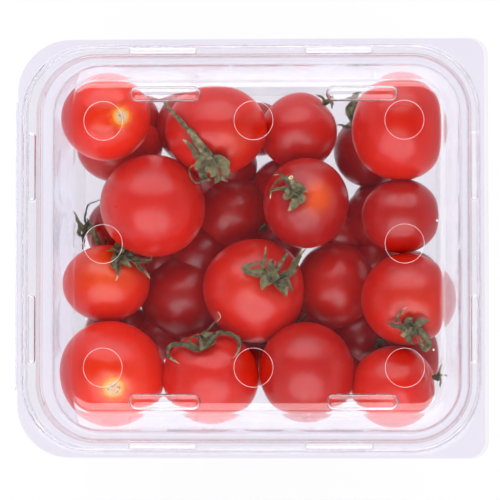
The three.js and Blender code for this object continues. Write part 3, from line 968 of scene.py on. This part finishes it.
def tomato_grid(rng, dimple, lobes):
    """Points of a unit tomato with its stem end at +Z, and each point's angle from the stem."""
    waves = []
    for _ in range(3):
        waves.append((rng.uniform(*WAVE_HEIGHTS), rng.uniform(0, math.tau), rng.choice((1, 2, 3))))
    points, angles = [], []
    for ring in range(RINGS + 1):
        angle = math.pi * ring / RINGS
        for segment in range(SEGMENTS):
            turn = math.tau * segment / SEGMENTS
            radius = 1 - dimple * hill(angle, 0, DIMPLE_WIDTH)
            radius += lobes * math.cos(LOBES * turn) * hill(angle, LOBE_ANGLE, LOBE_WIDTH)
            radius += POINT * hill(angle, math.pi, POINT_WIDTH)
            for size, phase, times in waves:
                radius += size * math.sin(angle) * math.cos(times * turn + phase + angle)
            points.append((
                radius * math.sin(angle) * math.cos(turn),
                radius * math.sin(angle) * math.sin(turn),
                radius * math.cos(angle),
            ))
            angles.append(angle)
    return np.array(points), np.array(angles)


# %% [markdown]
# ## All the tomatoes
#
# They are made as one joined mesh. What differs from fruit to fruit is stored on its points: how far a
# point is from the stem, how ripe the fruit is together with painted shade that darkens the lower and
# deep fruit, whether its stem end is a bare corky scar, and how much orange is left round it.

# %% Joined tomatoes with their own ripeness and painted shade
# Stem ends that show: which tomato, and the direction it faces from above as shares of its radius.
SCARS = {0: (0.44, -0.05), 10: (0.12, -0.28)}
FACINGS = {
    2: (-0.07, -0.68), 3: (0.65, 0.62), 5: (-0.25, 0.19), 7: (0.34, 0.68), 8: (0.36, 0.22),
    9: (0.06, -0.56), 11: (-0.05, 0.72), 13: (0.9, 0.2), 15: (0.8, -0.45), 18: (-0.85, 0.05),
    20: (-0.33, 0.72), 22: (0.27, 0.21), 23: (-0.4, 0.0), 25: (-0.66, 0.3),
}
# Orange patches: strength, place as shares of the radius, and how far the patch reaches.
ORANGE = {
    5: (0.85, (0.28, 0.12), 0.42), 7: (0.6, (0.1, 0.3), 0.9), 0: (0.35, (0.3, 0.0), 0.8),
    10: (0.35, (0.1, -0.2), 0.8), 8: (0.25, (0.1, 0.1), 0.8), 9: (0.3, (0.1, -0.3), 0.8),
    2: (0.3, (0.35, -0.4), 0.5),
}
# How ripe each seen fruit is; the darker red of the lower ones is partly painted shade.
RIPENESS_AND_SHADE = [
    0.12, 0.44, 0.46, 0.55, 0.42, 0.72, 0.66, 0.2, 0.44, 0.53, 0.1, 0.42, 0.60, 0.38, 0.74, 0.72, 0.50, 0.45,
]
# The deep fruit get a darker red: painted shade, as they lie under the others.
HIDDEN_PAINTED_SHADE = (0.66, 1.0)
TURNED_DOWN = (-1.6, -0.5)


def facing_up(across):
    """The direction out of a unit ball at a place seen from above."""
    return Vector((*across, math.sqrt(max(1 - across[0] ** 2 - across[1] ** 2, 0.0)))).normalized()


def facing_of(number, rng):
    """The stem's direction: as seen, or turned away downwards where it isn't seen."""
    seen = SCARS.get(number) or FACINGS.get(number)
    if seen:
        return facing_up(seen)
    turn = rng.uniform(0, math.tau)
    return Vector((math.cos(turn), math.sin(turn), rng.uniform(*TURNED_DOWN))).normalized()


def add_tomatoes():
    points, faces = [], []
    values = {"stem_angle": [], "ripeness_and_shade": [], "scar": [], "orange": []}
    for number, fruit in enumerate(heap):
        rng = random.Random(300 + number)
        facing = facing_of(number, rng)
        dimple = SCAR_DIMPLE if number in SCARS else DIMPLE
        grid, angles = tomato_grid(rng, dimple, rng.uniform(*LOBE_HEIGHTS))
        turned = grid @ np.array(facing.to_track_quat("Z", "Y").to_matrix()).T
        faces += ring_faces(RINGS + 1, SEGMENTS, start=len(points) * len(grid))
        points.append(turned * np.array(fruit["half"]) + np.array(fruit["centre"]))
        values["stem_angle"].append(angles)
        ripeness_and_shade = RIPENESS_AND_SHADE[number] if number < len(RIPENESS_AND_SHADE) else rng.uniform(*HIDDEN_PAINTED_SHADE)
        values["ripeness_and_shade"].append(np.full(len(grid), ripeness_and_shade))
        values["scar"].append(np.full(len(grid), float(number in SCARS)))
        strength, across, reach = ORANGE.get(number, (0.0, (0.0, 0.0), 1.0))
        away = np.arccos(np.clip(turned @ np.array(facing_up(across)), -1, 1))
        values["orange"].append(strength * np.exp(-((away / reach) ** 2)))
        fruit["facing"] = facing
    tomatoes = new_object("tomatoes_round", np.concatenate(points), faces)
    for name, lists in values.items():
        store(tomatoes, name, np.concatenate(lists))
    merge_poles(tomatoes)
    return tomatoes


tomatoes = add_tomatoes()
print("tomatoes:", len(heap), "fruit,", len(tomatoes.data.polygons), "faces")

# %% [markdown]
# ## Tomato skin
#
# The skin is a glossy clear layer over red flesh. Its red drifts slowly over each fruit, is lighter
# where it is less ripe, is darker on the lower and deep fruit as painted shade, and turns orange round
# a stem that ripened last. A faint red glow stands in for the light that scatters inside the flesh. A
# bare stem end is a pale corky disc with a yellow ring and a ragged orange halo. Each of them fades out
# between two angles from the stem.

# %% Skin material
HALO, RING, CORK = (0.17, 0.42), (0.16, 0.235), (0.135, 0.16)


def skin_material():
    material, shader, wires = new_material("tomato_skin", IOR=1.5, Emission_Strength=0.1)
    place = on_object(wires)
    scar, orange = stored(wires, "scar"), stored(wires, "orange")
    slow, fine = noise(wires, place, 60.0), noise(wires, place, 1400.0)
    stem_angle = stored(wires, "stem_angle") + (fine - 0.5) * 0.10
    depth = stored(wires, "ripeness_and_shade") + (slow - 0.5) * 0.3
    # The dark end of this red is partly painted shade, on the lower and deep fruit.
    red = depth.clamped(0.0, 1.0).mixed((0.56, 0.0110, 0.0002), (0.19, 0.0010, 0.0008))
    blush = orange + (slow - 0.5) * 0.2 * orange
    warm = blush.clamped(0.0, 1.0).mixed(red, (0.56, 0.068, 0.002))
    flecks = fine.clamped(0.60, 0.80) * 0.08
    skin = flecks.mixed(warm, (0.52, 0.07, 0.03))
    halo = scar * (1 - stem_angle.clamped(*HALO)) * (0.3 + fine.clamped(0.35, 0.65) * 0.6)
    haloed = halo.clamped(0.0, 1.0).mixed(skin, (0.66, 0.15, 0.012))
    ring = scar * (1 - stem_angle.clamped(*RING))
    ringed = ring.clamped(0.0, 1.0).mixed(haloed, (0.66, 0.27, 0.02))
    cork = scar * (1 - stem_angle.clamped(*CORK))
    pitted = fine.clamped(0.54, 0.66).mixed((0.57, 0.37, 0.20), (0.30, 0.13, 0.08))
    drive(
        wires,
        shader,
        Base_Color=cork.mixed(ringed, pitted),
        Emission_Color=cork.mixed((0.45, 0.004, 0.004), (0.0, 0.0, 0.0)),
        Roughness=cork * 0.35 + slow * 0.06 + 0.26,
        Normal=bump(wires, fine * (cork * 3 + 0.25), 0.12, 0.0004),
    )
    return material


tomatoes.data.materials.append(skin_material())

# %% [markdown]
# ## Dried calyxes
#
# Many fruits keep their calyx: five or more narrow green leaves round a cut stalk, some of them hidden by
# a neighbour. They have dried, so each leaf is folded along its middle, twists, and ends in a thin curl.
# No modifier gives that, so each leaf is a ribbon along its own path. The path is given as it shows from
# above, in millimetres from the stem end. Its height follows the skin below it, of its own fruit or of a
# slightly higher neighbour, and it bridges the gap between the two.

# %% Paths of leaves and stalks
# For each fruit, its leaves: width, how far it stands off the skin, how dry its tip is, and its path.
# Its stalk: the radius at the foot and at the tip, and its path, with the height of each point third.
LEAVES = {
    2: [
        (3.2, 0.9, 0.1, [(0.6, 0.8), (3.2, 0.6), (4.1, -1.6), (3.6, -4.2), (4.8, -5.1)]),
        (3.4, 1.0, 0.2, [(0.3, 0.2), (1.6, -2.4), (1.9, -4.4), (1.0, -5.9)]),
        (2.6, 0.9, 0.2, [(-0.6, 0.0), (-1.9, -2.2), (-1.0, -4.4), (-2.8, -5.6)]),
        (0.6, 0.7, 0.7, [(-2.2, -4.9), (-3.9, -6.2), (-5.5, -4.8), (-6.0, -2.6), (-5.4, -1.3), (-4.3, -0.7)]),
        (1.9, 0.9, 0.6, [(-1.2, 0.4), (-3.2, 1.6), (-5.0, 4.0), (-7.4, 6.0)]),
        (2.6, 1.0, 0.2, [(-0.8, 0.6), (-2.4, -0.3), (-2.6, -2.0), (-1.6, -3.6)]),
        (2.4, 1.0, 0.1, [(0.0, 0.8), (-1.4, 2.4), (-3.0, 4.2)]),
    ],
    3: [
        (1.3, 0.6, 0.2, [(0, 0), (-0.8, 1.4), (-2.4, 2.6)]),
        (1.4, 0.8, 0.1, [(0, 0), (1.4, 0.2), (2.0, -1.4)]),
        (1.3, 0.8, 0.2, [(0, 0), (1.8, 1.4), (1.4, 2.6)]),
    ],
    5: [
        (1.7, 0.9, 0.3, [(-0.4, 1.6), (-1.6, 3.5), (-3.2, 3.2), (-4.8, 2.3), (-6.4, 0.5)]),
        (0.7, 0.9, 0.9, [(-1.4, 3.6), (-2.6, 4.4), (-3.7, 4.9), (-5.1, 4.7)]),
        (1.3, 0.7, 0.8, [(-1.2, 0.4), (-3.4, 0.6), (-5.8, 0.0), (-6.4, -1.8)]),
        (2.3, 0.8, 0.5, [(0.2, 0.6), (2.0, 0.9), (3.9, -0.3)]),
        (3.0, 0.7, 0.2, [(-0.4, 0.0), (-1.6, -1.2), (-2.6, -0.8)]),
        (2.8, 0.8, 0.5, [(0.2, -0.4), (0.9, -2.6), (-0.2, -4.2), (-1.4, -5.3)]),
        (2.6, 0.8, 0.1, [(0.6, 0.0), (2.2, -1.7), (1.6, -3.6)]),
    ],
    7: [
        (2.3, 0.8, 0.1, [(0, 0), (-0.9, 1.6), (-1.4, 3.2)]),
        (1.8, 0.8, 0.1, [(0, 0), (-2.0, 0.7), (-3.8, 0.7)]),
        (2.4, 0.7, 0.1, [(0, 0), (-1.5, -2.6), (-1.0, -4.7)]),
        (1.3, 0.7, 0.8, [(0, -0.6), (0.1, -3.8), (-0.2, -6.6), (-0.8, -7.6)]),
        (2.3, 0.9, 0.7, [(0.4, 0), (3.0, -2.0), (5.0, -4.1), (7.0, -5.7), (8.3, -6.8)]),
        (2.3, 1.2, 0.4, [(0.4, 0.2), (2.4, 1.3), (4.4, 2.4), (6.3, 2.7)]),
        (1.8, 1.3, 0.3, [(0.6, -0.4), (3.6, -1.0), (6.2, 0.3), (9.8, 1.6)]),
        (1.7, 1.0, 0.3, [(2.0, -1.4), (5.0, -2.6), (7.2, -2.2), (8.2, -1.4), (7.9, -0.4)]),
        (2.4, 0.7, 0.1, [(0, 0), (1.6, -2.6), (3.2, -3.8)]),
    ],
    8: [
        (2.0, 0.9, 0.1, [(-0.6, 0.2), (-4.3, 0.8), (-6.8, 1.1), (-7.6, 2.1), (-6.4, 2.8), (-4.4, 3.8),
                         (-2.8, 4.0)]),
        (1.3, 1.1, 0.6, [(-1.0, 0.0), (-2.4, 2.0), (-2.0, 5.2), (-1.9, 8.4)]),
        (2.9, 1.2, 0.1, [(0.0, -1.6), (-0.5, 1.0), (-0.2, 4.6)]),
        (2.1, 1.6, 0.7, [(0.8, -1.0), (4.2, 0.4), (5.4, 3.2), (6.7, 5.4), (8.9, 7.8)]),
        (3.2, 0.9, 0.1, [(0.6, -0.8), (2.4, -2.7), (3.9, -5.4)]),
        (2.8, 0.8, 0.1, [(-0.4, -0.6), (-2.2, -1.8), (-2.9, -3.8)]),
        (2.4, 1.0, 0.1, [(0.6, -0.8), (3.4, -1.8), (5.2, -4.2)]),
    ],
    9: [
        (2.3, 0.9, 0.1, [(0, 0), (-3.4, 0.5), (-5.4, 0.8), (-7.0, 0.8)]),
        (0.7, 1.0, 0.7, [(-4.4, 0.9), (-3.6, 2.8), (-2.5, 4.5), (-1.4, 5.2)]),
        (2.2, 0.9, 0.1, [(0, 0), (1.8, 1.1), (3.7, 1.6), (4.6, 1.2)]),
        (2.1, 1.0, 0.2, [(0.4, -0.4), (2.5, -1.6), (4.0, -3.2), (4.5, -4.8), (3.5, -5.7), (2.3, -4.6),
                         (1.2, -2.6)]),
        (2.5, 0.8, 0.1, [(0, -0.4), (-0.6, -2.6), (0.1, -4.3), (1.1, -5.1)]),
        (2.6, 0.8, 0.1, [(0, 0), (-1.0, 1.4), (0.4, 2.0)]),
    ],
    11: [
        (1.7, 1.0, 0.6, [(1.6, 0.9), (3.9, 1.7), (6.0, 1.6), (8.0, 0.6), (9.0, -1.4), (8.6, -3.6),
                         (7.4, -4.7)]),
        (1.7, 1.0, 0.6, [(0.0, -1.6), (-2.2, -2.1), (-4.6, -1.4), (-7.4, -1.1), (-9.5, -1.6),
                         (-10.6, -3.0), (-10.0, -4.6), (-7.2, -6.2)]),
        (1.4, 0.9, 0.2, [(-0.8, 0.8), (-3.2, 1.0), (-4.6, 0.3), (-5.4, -0.8)]),
        (0.45, 1.2, 0.9, [(-2.8, -0.8), (-1.3, 1.6), (0.5, 2.8), (1.8, 4.4), (3.4, 6.2), (3.7, 7.2),
                          (3.0, 8.0)]),
        (3.2, 0.8, 0.1, [(0.6, 0.6), (-0.6, -1.4), (-1.4, -2.8)]),
        (2.6, 0.9, 0.1, [(1.2, 0.6), (-0.6, 1.4), (-2.4, 2.0)]),
        (2.2, 0.9, 0.1, [(1.4, 0.9), (1.2, -0.6), (-0.4, -2.2)]),
    ],
    13: [
        (1.7, 0.8, 0.1, [(0, 0), (1.4, 1.6), (2.4, 3.6)]),
        (1.4, 0.8, 0.2, [(0, 0), (2.0, -0.6), (2.2, -2.8)]),
        (1.2, 0.8, 0.2, [(0, 0), (2.3, 0.6), (2.9, 0.2)]),
    ],
    15: [
        (1.4, 0.6, 0.1, [(0, 0), (-0.8, 0.9), (-1.8, 0.6)]),
        (1.3, 0.6, 0.1, [(0, 0), (0.9, 0.8), (1.3, 1.8)]),
        (1.2, 0.6, 0.2, [(0, 0), (0.8, -0.5), (1.8, -0.4)]),
    ],
    18: [
        (2.6, 1.1, 0.1, [(0, 0), (-2.0, 2.6), (-3.2, 4.9)]),
        (0.9, 1.4, 0.3, [(-0.4, 1.6), (0.0, 4.0), (1.0, 5.9), (2.7, 6.9), (3.9, 7.3), (4.5, 6.8)]),
        (2.2, 1.2, 0.3, [(0, 0), (1.6, 1.0), (3.6, -1.8), (5.0, -4.3), (6.0, -4.3), (5.8, -2.2)]),
        (1.9, 0.9, 0.1, [(0, 0), (-0.4, -2.2), (-0.9, -4.2), (-1.5, -5.8)]),
        (2.2, 0.9, 0.1, [(0, 0), (-1.6, -0.6), (-1.4, -2.6)]),
        (2.0, 1.0, 0.1, [(0, 0), (0.6, 1.6), (0.2, 3.0)]),
    ],
    20: [
        (3.0, 1.0, 0.1, [(0, 0), (-1.2, 2.4), (-0.5, 4.6), (-0.4, 6.8), (0.3, 9.4)]),
        (2.8, 1.0, 0.1, [(0, 0), (1.3, 1.8), (0.9, 3.6), (0.0, 4.8)]),
        (3.4, 1.2, 0.1, [(0, 0), (1.8, 2.8), (2.2, 6.6)]),
        (2.6, 1.4, 0.1, [(0.2, 0), (0.4, 3.8), (1.4, 8.6)]),
        (4.0, 0.8, 0.1, [(0, 0.6), (0.0, -1.4), (-0.1, -3.2)]),
        (1.2, 0.8, 0.4, [(-0.2, -1.8), (-2.4, -2.1), (-3.9, -1.2), (-5.3, -1.0)]),
    ],
    22: [
        (1.8, 0.9, 0.2, [(0, 0), (-1.6, -0.7), (-3.0, -0.8), (-4.6, -0.3)]),
        (1.2, 0.8, 0.7, [(0, 0), (-0.8, -1.6), (-1.1, -3.2)]),
        (1.6, 0.9, 0.1, [(0, 0), (-0.1, 1.2), (-0.7, 2.5)]),
        (1.3, 0.9, 0.1, [(0, 0), (0.7, 1.3), (1.4, 2.8)]),
        (1.1, 1.4, 0.3, [(0, 0), (1.8, 1.6), (4.6, 4.1), (6.9, 6.0), (9.6, 8.6), (10.0, 10.2)]),
    ],
    23: [
        (1.8, 0.9, 0.4, [(0, 0), (-2.0, 0.5), (-3.8, 0.2), (-5.2, -0.2)]),
        (1.9, 0.9, 0.1, [(0, 0), (1.6, 0.3), (3.4, -0.5), (4.8, -1.4)]),
        (1.4, 0.8, 0.1, [(0, 0), (0.2, 0.8), (0.9, 1.4)]),
    ],
    25: [
        (1.7, 0.9, 0.1, [(0, 0), (0.3, 1.4), (0.7, 3.0)]),
        (1.5, 0.9, 0.7, [(0, 0), (-1.5, -0.6), (-3.3, -1.5), (-5.4, -2.1)]),
        (1.3, 0.9, 0.2, [(0, 0), (1.6, 0.7), (2.9, 0.7), (4.1, 0.2)]),
    ],
}
STALKS = {
    2: (1.7, 0.35, [(0, 0, -0.4), (-2.7, 4.4, 1.4), (-5.2, 7.8, 1.2), (-6.6, 9.2, 1.1), (-9.1, 12.1, 1.3),
                    (-11.3, 14.8, 1.8), (-12.4, 16.4, 2.4)]),
    5: (1.0, 0.8, [(0, 0, -0.4), (0.0, 1.5, 1.0), (0.0, 2.6, 2.2), (0.0, 2.9, 3.4)]),
    7: (0.9, 0.7, [(0, 0, -0.4), (0.3, 0.5, 1.6), (0.6, 1.0, 2.0)]),
    8: (1.0, 0.5, [(0, 0, -0.4), (0.9, 1.6, 1.4), (2.2, 4.2, 2.2), (2.9, 5.4, 2.9)]),
    9: (0.95, 0.75, [(0, 0, -0.4), (-1.0, -0.8, 1.4), (-2.5, -2.0, 2.0)]),
    11: (0.9, 0.6, [(0.8, 0.2, -0.4), (2.0, 1.0, 1.4), (3.0, 1.8, 1.8)]),
}

# %% Ribbons that follow the skin
LEAF_STEP = 0.22
LEAF_ACROSS = 4
LEAF_THICKNESS = 0.16
SKIN_REACH = 0.9
STEP_UP = 5.0
BRIDGE_PASSES = 14
BREADTH = 1.4
CEILING = PANEL_MIDDLE_Z - FILM / 2 - 0.25
# Limits of the random draws for each leaf: its roll at foot and tip, fold, curl and the pace of waves.
ROLL_FOOT, ROLL_TIP, FOLDS, CURLS, PACES = 0.5, 1.1, (0.5, 0.95), (0.2, 1.0), (0.5, 1.4)
LIFT_FOOT, LIFT_ARCH, LIFT_PEAK = 0.45, 0.9, 0.8
SWELL_FOOT, SWELL_RATE, TAPER = 0.6, 2.0, 0.6
DRY_FROM, DRY_OVER, FOOT_SHADE_OVER = 0.55, 0.4, 0.4
LEAF_WAVE = 0.18
FRILL, FRILL_PACE = 0.14, 2.2
RIPPLE, RIPPLE_PACE = 0.10, 3.1
FOLD_CURVE = 1.3
TIP_HALF = 0.10
FOOT_SHADE = 0.7
STALK_SIDES, STALK_RIDGES, RIDGE_SHARE = 12, 3, 0.10
STALK_TAPER, STALK_WAVE, STALK_PACE = 0.8, 0.06, 0.9
KNUCKLE, KNUCKLE_AT, KNUCKLE_WIDTH, KNUCKLE_FROM = 0.22, 0.55, 0.06, 40
# A cut end's rings: their share of the stalk's radius, and how far on they lie.
CUT_RINGS = ((0.92, 0.02), (0.55, -0.03), (0.5, -0.16), (0.12, -0.2))


def higher_neighbour(fruit, x, y):
    """The fruit whose skin a leaf of this fruit lies on at a place: its own, or a slightly higher one."""
    chosen, height = fruit, skin_height(fruit, x, y)
    for other in heap:
        centre, half = other["centre"], other["half"]
        reach = math.hypot((x - centre.x) / half.x, (y - centre.y) / half.y)
        if reach < SKIN_REACH and height < skin_height(other, x, y) < height + STEP_UP:
            chosen, height = other, skin_height(other, x, y)
    return chosen


def skin_height(fruit, x, y):
    return skin_below(fruit, x, y)[0]


def skin_below(fruit, x, y):
    """The height of the skin below a place seen from above, and the direction out of it."""
    centre, half = fruit["centre"], fruit["half"]
    across = Vector(((x - centre.x) / half.x, (y - centre.y) / half.y))
    if across.length > SKIN_REACH:
        across *= SKIN_REACH / across.length
    up = math.sqrt(1 - across.length_squared)
    out = Vector((across.x / half.x, across.y / half.y, up / half.z)).normalized()
    return centre.z + half.z * up, out


def curve_through(points, spacing):
    """Even steps along a smooth curve through the points (a Catmull-Rom curve)."""
    points = [np.array(point, float) for point in points]
    points = [2 * points[0] - points[1], *points, 2 * points[-1] - points[-2]]
    line = []
    for before, start, end, after in zip(points, points[1:], points[2:], points[3:]):
        steps = max(3, round(np.linalg.norm(end - start) / spacing))
        for step in range(steps):
            t = step / steps
            line.append(0.5 * (
                2 * start + (end - before) * t
                + (2 * before - 5 * start + 4 * end - after) * t**2
                + (3 * start - before - 3 * end + after) * t**3
            ))
    line.append(points[-2])
    return line


class Greens:
    """Collects the points and faces of all leaves and stalks, with what varies along them."""

    def __init__(self):
        self.points, self.faces = [], []
        self.values = {"dryness": [], "cut": [], "tone_and_foot_shade": []}

    def add_rows(self, rows, dryness, cut, tone_and_foot_shade):
        """Joins closed rings of points into one tube with flat ends."""
        start, count = len(self.points), len(rows[0])
        for number, row in enumerate(rows):
            self.points += row
            self.values["dryness"] += [dryness[number]] * count
            self.values["cut"] += [cut[number]] * count
            self.values["tone_and_foot_shade"] += [tone_and_foot_shade[number]] * count
        last = start + (len(rows) - 1) * count
        self.faces += ring_faces(len(rows), count, start, flip=True)
        self.faces += [tuple(reversed(range(start, start + count))), tuple(range(last, last + count))]


def add_leaf(greens, fruit, foot, leaf, rng):
    width, lift, dry_tip, path = leaf
    line = curve_through(path, LEAF_STEP)
    length = len(line) - 1
    roll_start, roll_end = rng.uniform(-ROLL_FOOT, ROLL_FOOT), rng.uniform(-ROLL_TIP, ROLL_TIP)
    fold = rng.uniform(*FOLDS)
    waves = [(rng.uniform(*PACES), rng.uniform(0, math.tau)) for _ in range(3)]
    curl = rng.uniform(*CURLS)
    centres, outs = [], []
    for number, (dx, dy) in enumerate(line):
        share = number / length
        x, y = foot.x + dx, foot.y + dy
        z, out = skin_below(higher_neighbour(fruit, x, y), x, y)
        wave = LEAF_WAVE * math.sin(number * LEAF_STEP * waves[0][0] + waves[0][1])
        arch = LIFT_ARCH * math.sin(math.pi * min(share, LIFT_PEAK))
        height = lift * (LIFT_FOOT + arch + curl * share**3) + wave
        centres.append(Vector((x, y, z)) + out * height)
        outs.append(out)
    for _ in range(BRIDGE_PASSES):
        for before, centre, after in zip(centres, centres[1:], centres[2:]):
            centre.z = max(centre.z, (before.z + after.z) / 2)
    for centre in centres:
        centre.z = min(centre.z, CEILING - width * 0.12)
    rows, dryness = [], []
    for number, (centre, out) in enumerate(zip(centres, outs)):
        share = number / length
        before, after = centres[max(number - 1, 0)], centres[min(number + 1, length)]
        along = (after - before).normalized()
        roll = roll_start + (roll_end - roll_start) * share
        side = Matrix.Rotation(roll, 3, along) @ along.cross(out).normalized()
        up = side.cross(along).normalized()
        frill = 1 + FRILL * math.sin(number * LEAF_STEP * FRILL_PACE * waves[1][0] + waves[1][1])
        swell = min(1.0, SWELL_FOOT + share * SWELL_RATE) * max(1 - share, 0.0) ** TAPER
        half = max(width / 2 * BREADTH * swell * frill, TIP_HALF)
        phase = number * LEAF_STEP * RIPPLE_PACE * waves[2][0] + waves[2][1]
        upper, lower = [], []
        for step in range(LEAF_ACROSS + 1):
            across = 2 * step / LEAF_ACROSS - 1
            ripple = RIPPLE * half * math.sin(phase + across * 2)
            rise = half * fold * abs(across) ** FOLD_CURVE + ripple
            point = centre + side * (half * across) + up * rise
            upper.append(tuple(point + up * LEAF_THICKNESS / 2))
            lower.append(tuple(point - up * LEAF_THICKNESS / 2))
        rows.append(lower + upper[::-1])
        dryness.append(dry_tip * smooth((share - DRY_FROM) / DRY_OVER))
    leaf_tone = rng.uniform(0, 1)
    shares = [number / length for number in range(length + 1)]
    # Each leaf's own tone, with painted shade darkening its foot.
    tone_and_foot_shade = [leaf_tone - FOOT_SHADE * (1 - smooth(share / FOOT_SHADE_OVER)) for share in shares]
    greens.add_rows(rows, dryness, [0.0] * len(rows), tone_and_foot_shade)


def add_stalk(greens, fruit, foot, stalk, rng):
    radius_foot, radius_tip, path = stalk
    line = curve_through(path, LEAF_STEP)
    length = len(line) - 1
    centres = []
    for dx, dy, height in line:
        z, out = skin_below(fruit, foot.x + dx, foot.y + dy)
        centre = Vector((foot.x + dx, foot.y + dy, z)) + out * height
        centre.z = min(centre.z, CEILING - radius_tip - (radius_foot - radius_tip) * 0.4)
        centres.append(centre)
    rows, cut = [], []
    ridge = rng.uniform(0, math.tau)
    for number, centre in enumerate(centres):
        share = number / length
        along = (centres[min(number + 1, length)] - centres[max(number - 1, 0)]).normalized()
        side = along.orthogonal().normalized()
        up = along.cross(side)
        knuckle = KNUCKLE * hill(share, KNUCKLE_AT, KNUCKLE_WIDTH) if length > KNUCKLE_FROM else 0.0
        radius = radius_foot + (radius_tip - radius_foot) * share**STALK_TAPER
        radius *= 1 - knuckle + STALK_WAVE * math.sin(number * STALK_PACE + ridge)
        row = []
        for index in range(STALK_SIDES):
            turn = math.tau * index / STALK_SIDES
            reach = radius * (1 + RIDGE_SHARE * math.cos(STALK_RIDGES * turn + ridge + share * 2))
            row.append(tuple(centre + (side * math.cos(turn) + up * math.sin(turn)) * reach))
        rows.append(row)
        cut.append(0.0)
    end, along = centres[-1], (centres[-1] - centres[-2]).normalized()
    last = [Vector(point) - end for point in rows[-1]]
    for inset, onward in CUT_RINGS:
        rows.append([tuple(end + spoke * inset + along * onward) for spoke in last])
        cut.append(1.0 if inset > 0.5 else 0.3)
    dryness = [0.35] * len(rows)
    greens.add_rows(rows, dryness, cut, [rng.uniform(0, 1)] * len(rows))


def add_calyxes():
    greens = Greens()
    for number, leaves in LEAVES.items():
        fruit = heap[number]
        rng = random.Random(800 + number)
        foot = fruit["centre"] + fruit["facing"] * fruit["half"]
        for leaf in leaves:
            add_leaf(greens, fruit, foot, leaf, rng)
        if number in STALKS:
            add_stalk(greens, fruit, foot, STALKS[number], rng)
    calyxes = new_object("calyxes", greens.points, greens.faces)
    for name, values in greens.values.items():
        store(calyxes, name, values)
    shade(calyxes, 55)
    return calyxes


calyxes = add_calyxes()
print("calyxes:", len(LEAVES), "with", len(calyxes.data.polygons), "faces")

# %% [markdown]
# ## The dried green
#
# Dry calyxes are a dull grey olive. The tone changes from leaf to leaf and in small blotches, a painted
# shade darkens each leaf's foot, and thin tips have gone tan. A cut stalk shows a pale orange ring. A
# high roughness and a fine bump keep them matt beside the glossy fruit.

# %% Calyx material
def calyx_material():
    material, shader, wires = new_material("dried_green", IOR=1.35, Sheen_Weight=0.04, Sheen_Roughness=0.5)
    place = on_object(wires)
    blotch, grain = noise(wires, place, 700.0, 4.0), noise(wires, place, 2200.0)
    # The stored tone carries the painted shade at each leaf's foot.
    light = (stored(wires, "tone_and_foot_shade") * 0.4 + blotch * 1.6 - 0.5).clamped(0.0, 1.0)
    green = light.mixed((0.050, 0.044, 0.017), (0.190, 0.170, 0.078))
    dry = (stored(wires, "dryness") + (blotch - 0.5) * 0.5).clamped(0.25, 0.8)
    tan = dry.mixed(green, (0.50, 0.38, 0.22))
    drive(
        wires,
        shader,
        Base_Color=stored(wires, "cut").clamped(0.1, 0.9).mixed(tan, (0.86, 0.58, 0.30)),
        Roughness=grain * 0.2 + 0.62,
        Normal=bump(wires, grain + blotch, 0.5, 0.0003),
    )
    return material


calyxes.data.materials.append(calyx_material())

# %% [markdown]
# ## Specks of water
#
# A few tiny drops sit on the lid near its shoulder. Each is dropped straight down on the lid's mesh, so
# it sits on the film wherever the film turns. Their whitish colour is a painted highlight for the glint of
# clear water.

# %% Specks on the lid
SPECKS = [(-53.4, 48.3), (-45.0, 49.8), (43.0, 49.2), (-57.0, -7.6), (-57.3, -10.9), (-56.8, -31.8),
          (-56.4, -40.2), (-56.3, -41.4), (-10.3, -49.4), (17.7, -49.4), (54.2, -30.5), (55.3, 7.4)]
SPECK_RADII = (0.22, 0.42)
SPECK_RINGS, SPECK_SIDES = 6, 12
SPECK_FLATNESS = 0.5


def add_specks():
    rng = random.Random(77)
    points, faces = [], []
    for x, y in SPECKS:
        found, place, normal, _ = lid.ray_cast(Vector((x, y, 80)) * MM, Vector((0, 0, -1)))
        if not found:
            continue
        radius = rng.uniform(*SPECK_RADII)
        turn = normal.to_track_quat("Z", "Y").to_matrix()
        start = len(points)
        for ring in range(SPECK_RINGS + 1):
            angle = math.pi * ring / SPECK_RINGS
            reach, height = radius * math.sin(angle), SPECK_FLATNESS * radius * math.cos(angle)
            for side in range(SPECK_SIDES):
                across = math.tau * side / SPECK_SIDES
                local = Vector((reach * math.cos(across), reach * math.sin(across), height))
                points.append(tuple(place / MM + turn @ local))
        faces += ring_faces(SPECK_RINGS + 1, SPECK_SIDES, start)
    specks = new_object("water_specks", points, faces)
    merge_poles(specks)
    return specks


def speck_material():
    material, shader, wires = new_material("water_speck", Transmission_Weight=0.4, IOR=1.33)
    mist = noise(wires, on_object(wires), 600.0)
    # Whitish drops: a painted highlight for the glint of clear water.
    clear = mist.mixed((0.90, 0.90, 0.93), (1.0, 1.0, 1.0))
    drive(wires, shader, Base_Color=clear, Roughness=mist * 0.2 + 0.1)
    return material


specks = add_specks()
specks.data.materials.append(speck_material())
print("specks:", len(SPECKS))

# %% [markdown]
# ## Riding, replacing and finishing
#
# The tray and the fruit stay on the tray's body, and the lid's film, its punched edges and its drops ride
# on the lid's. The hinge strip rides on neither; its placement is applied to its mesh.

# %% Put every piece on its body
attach(tray, "tray")
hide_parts("tray")
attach(lid, "lid")
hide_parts("lid")
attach(tomatoes, "tray")
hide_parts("tomatoes")
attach(calyxes, "tray")
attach(vent_rims, "lid")
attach(specks, "lid")
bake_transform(hinge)
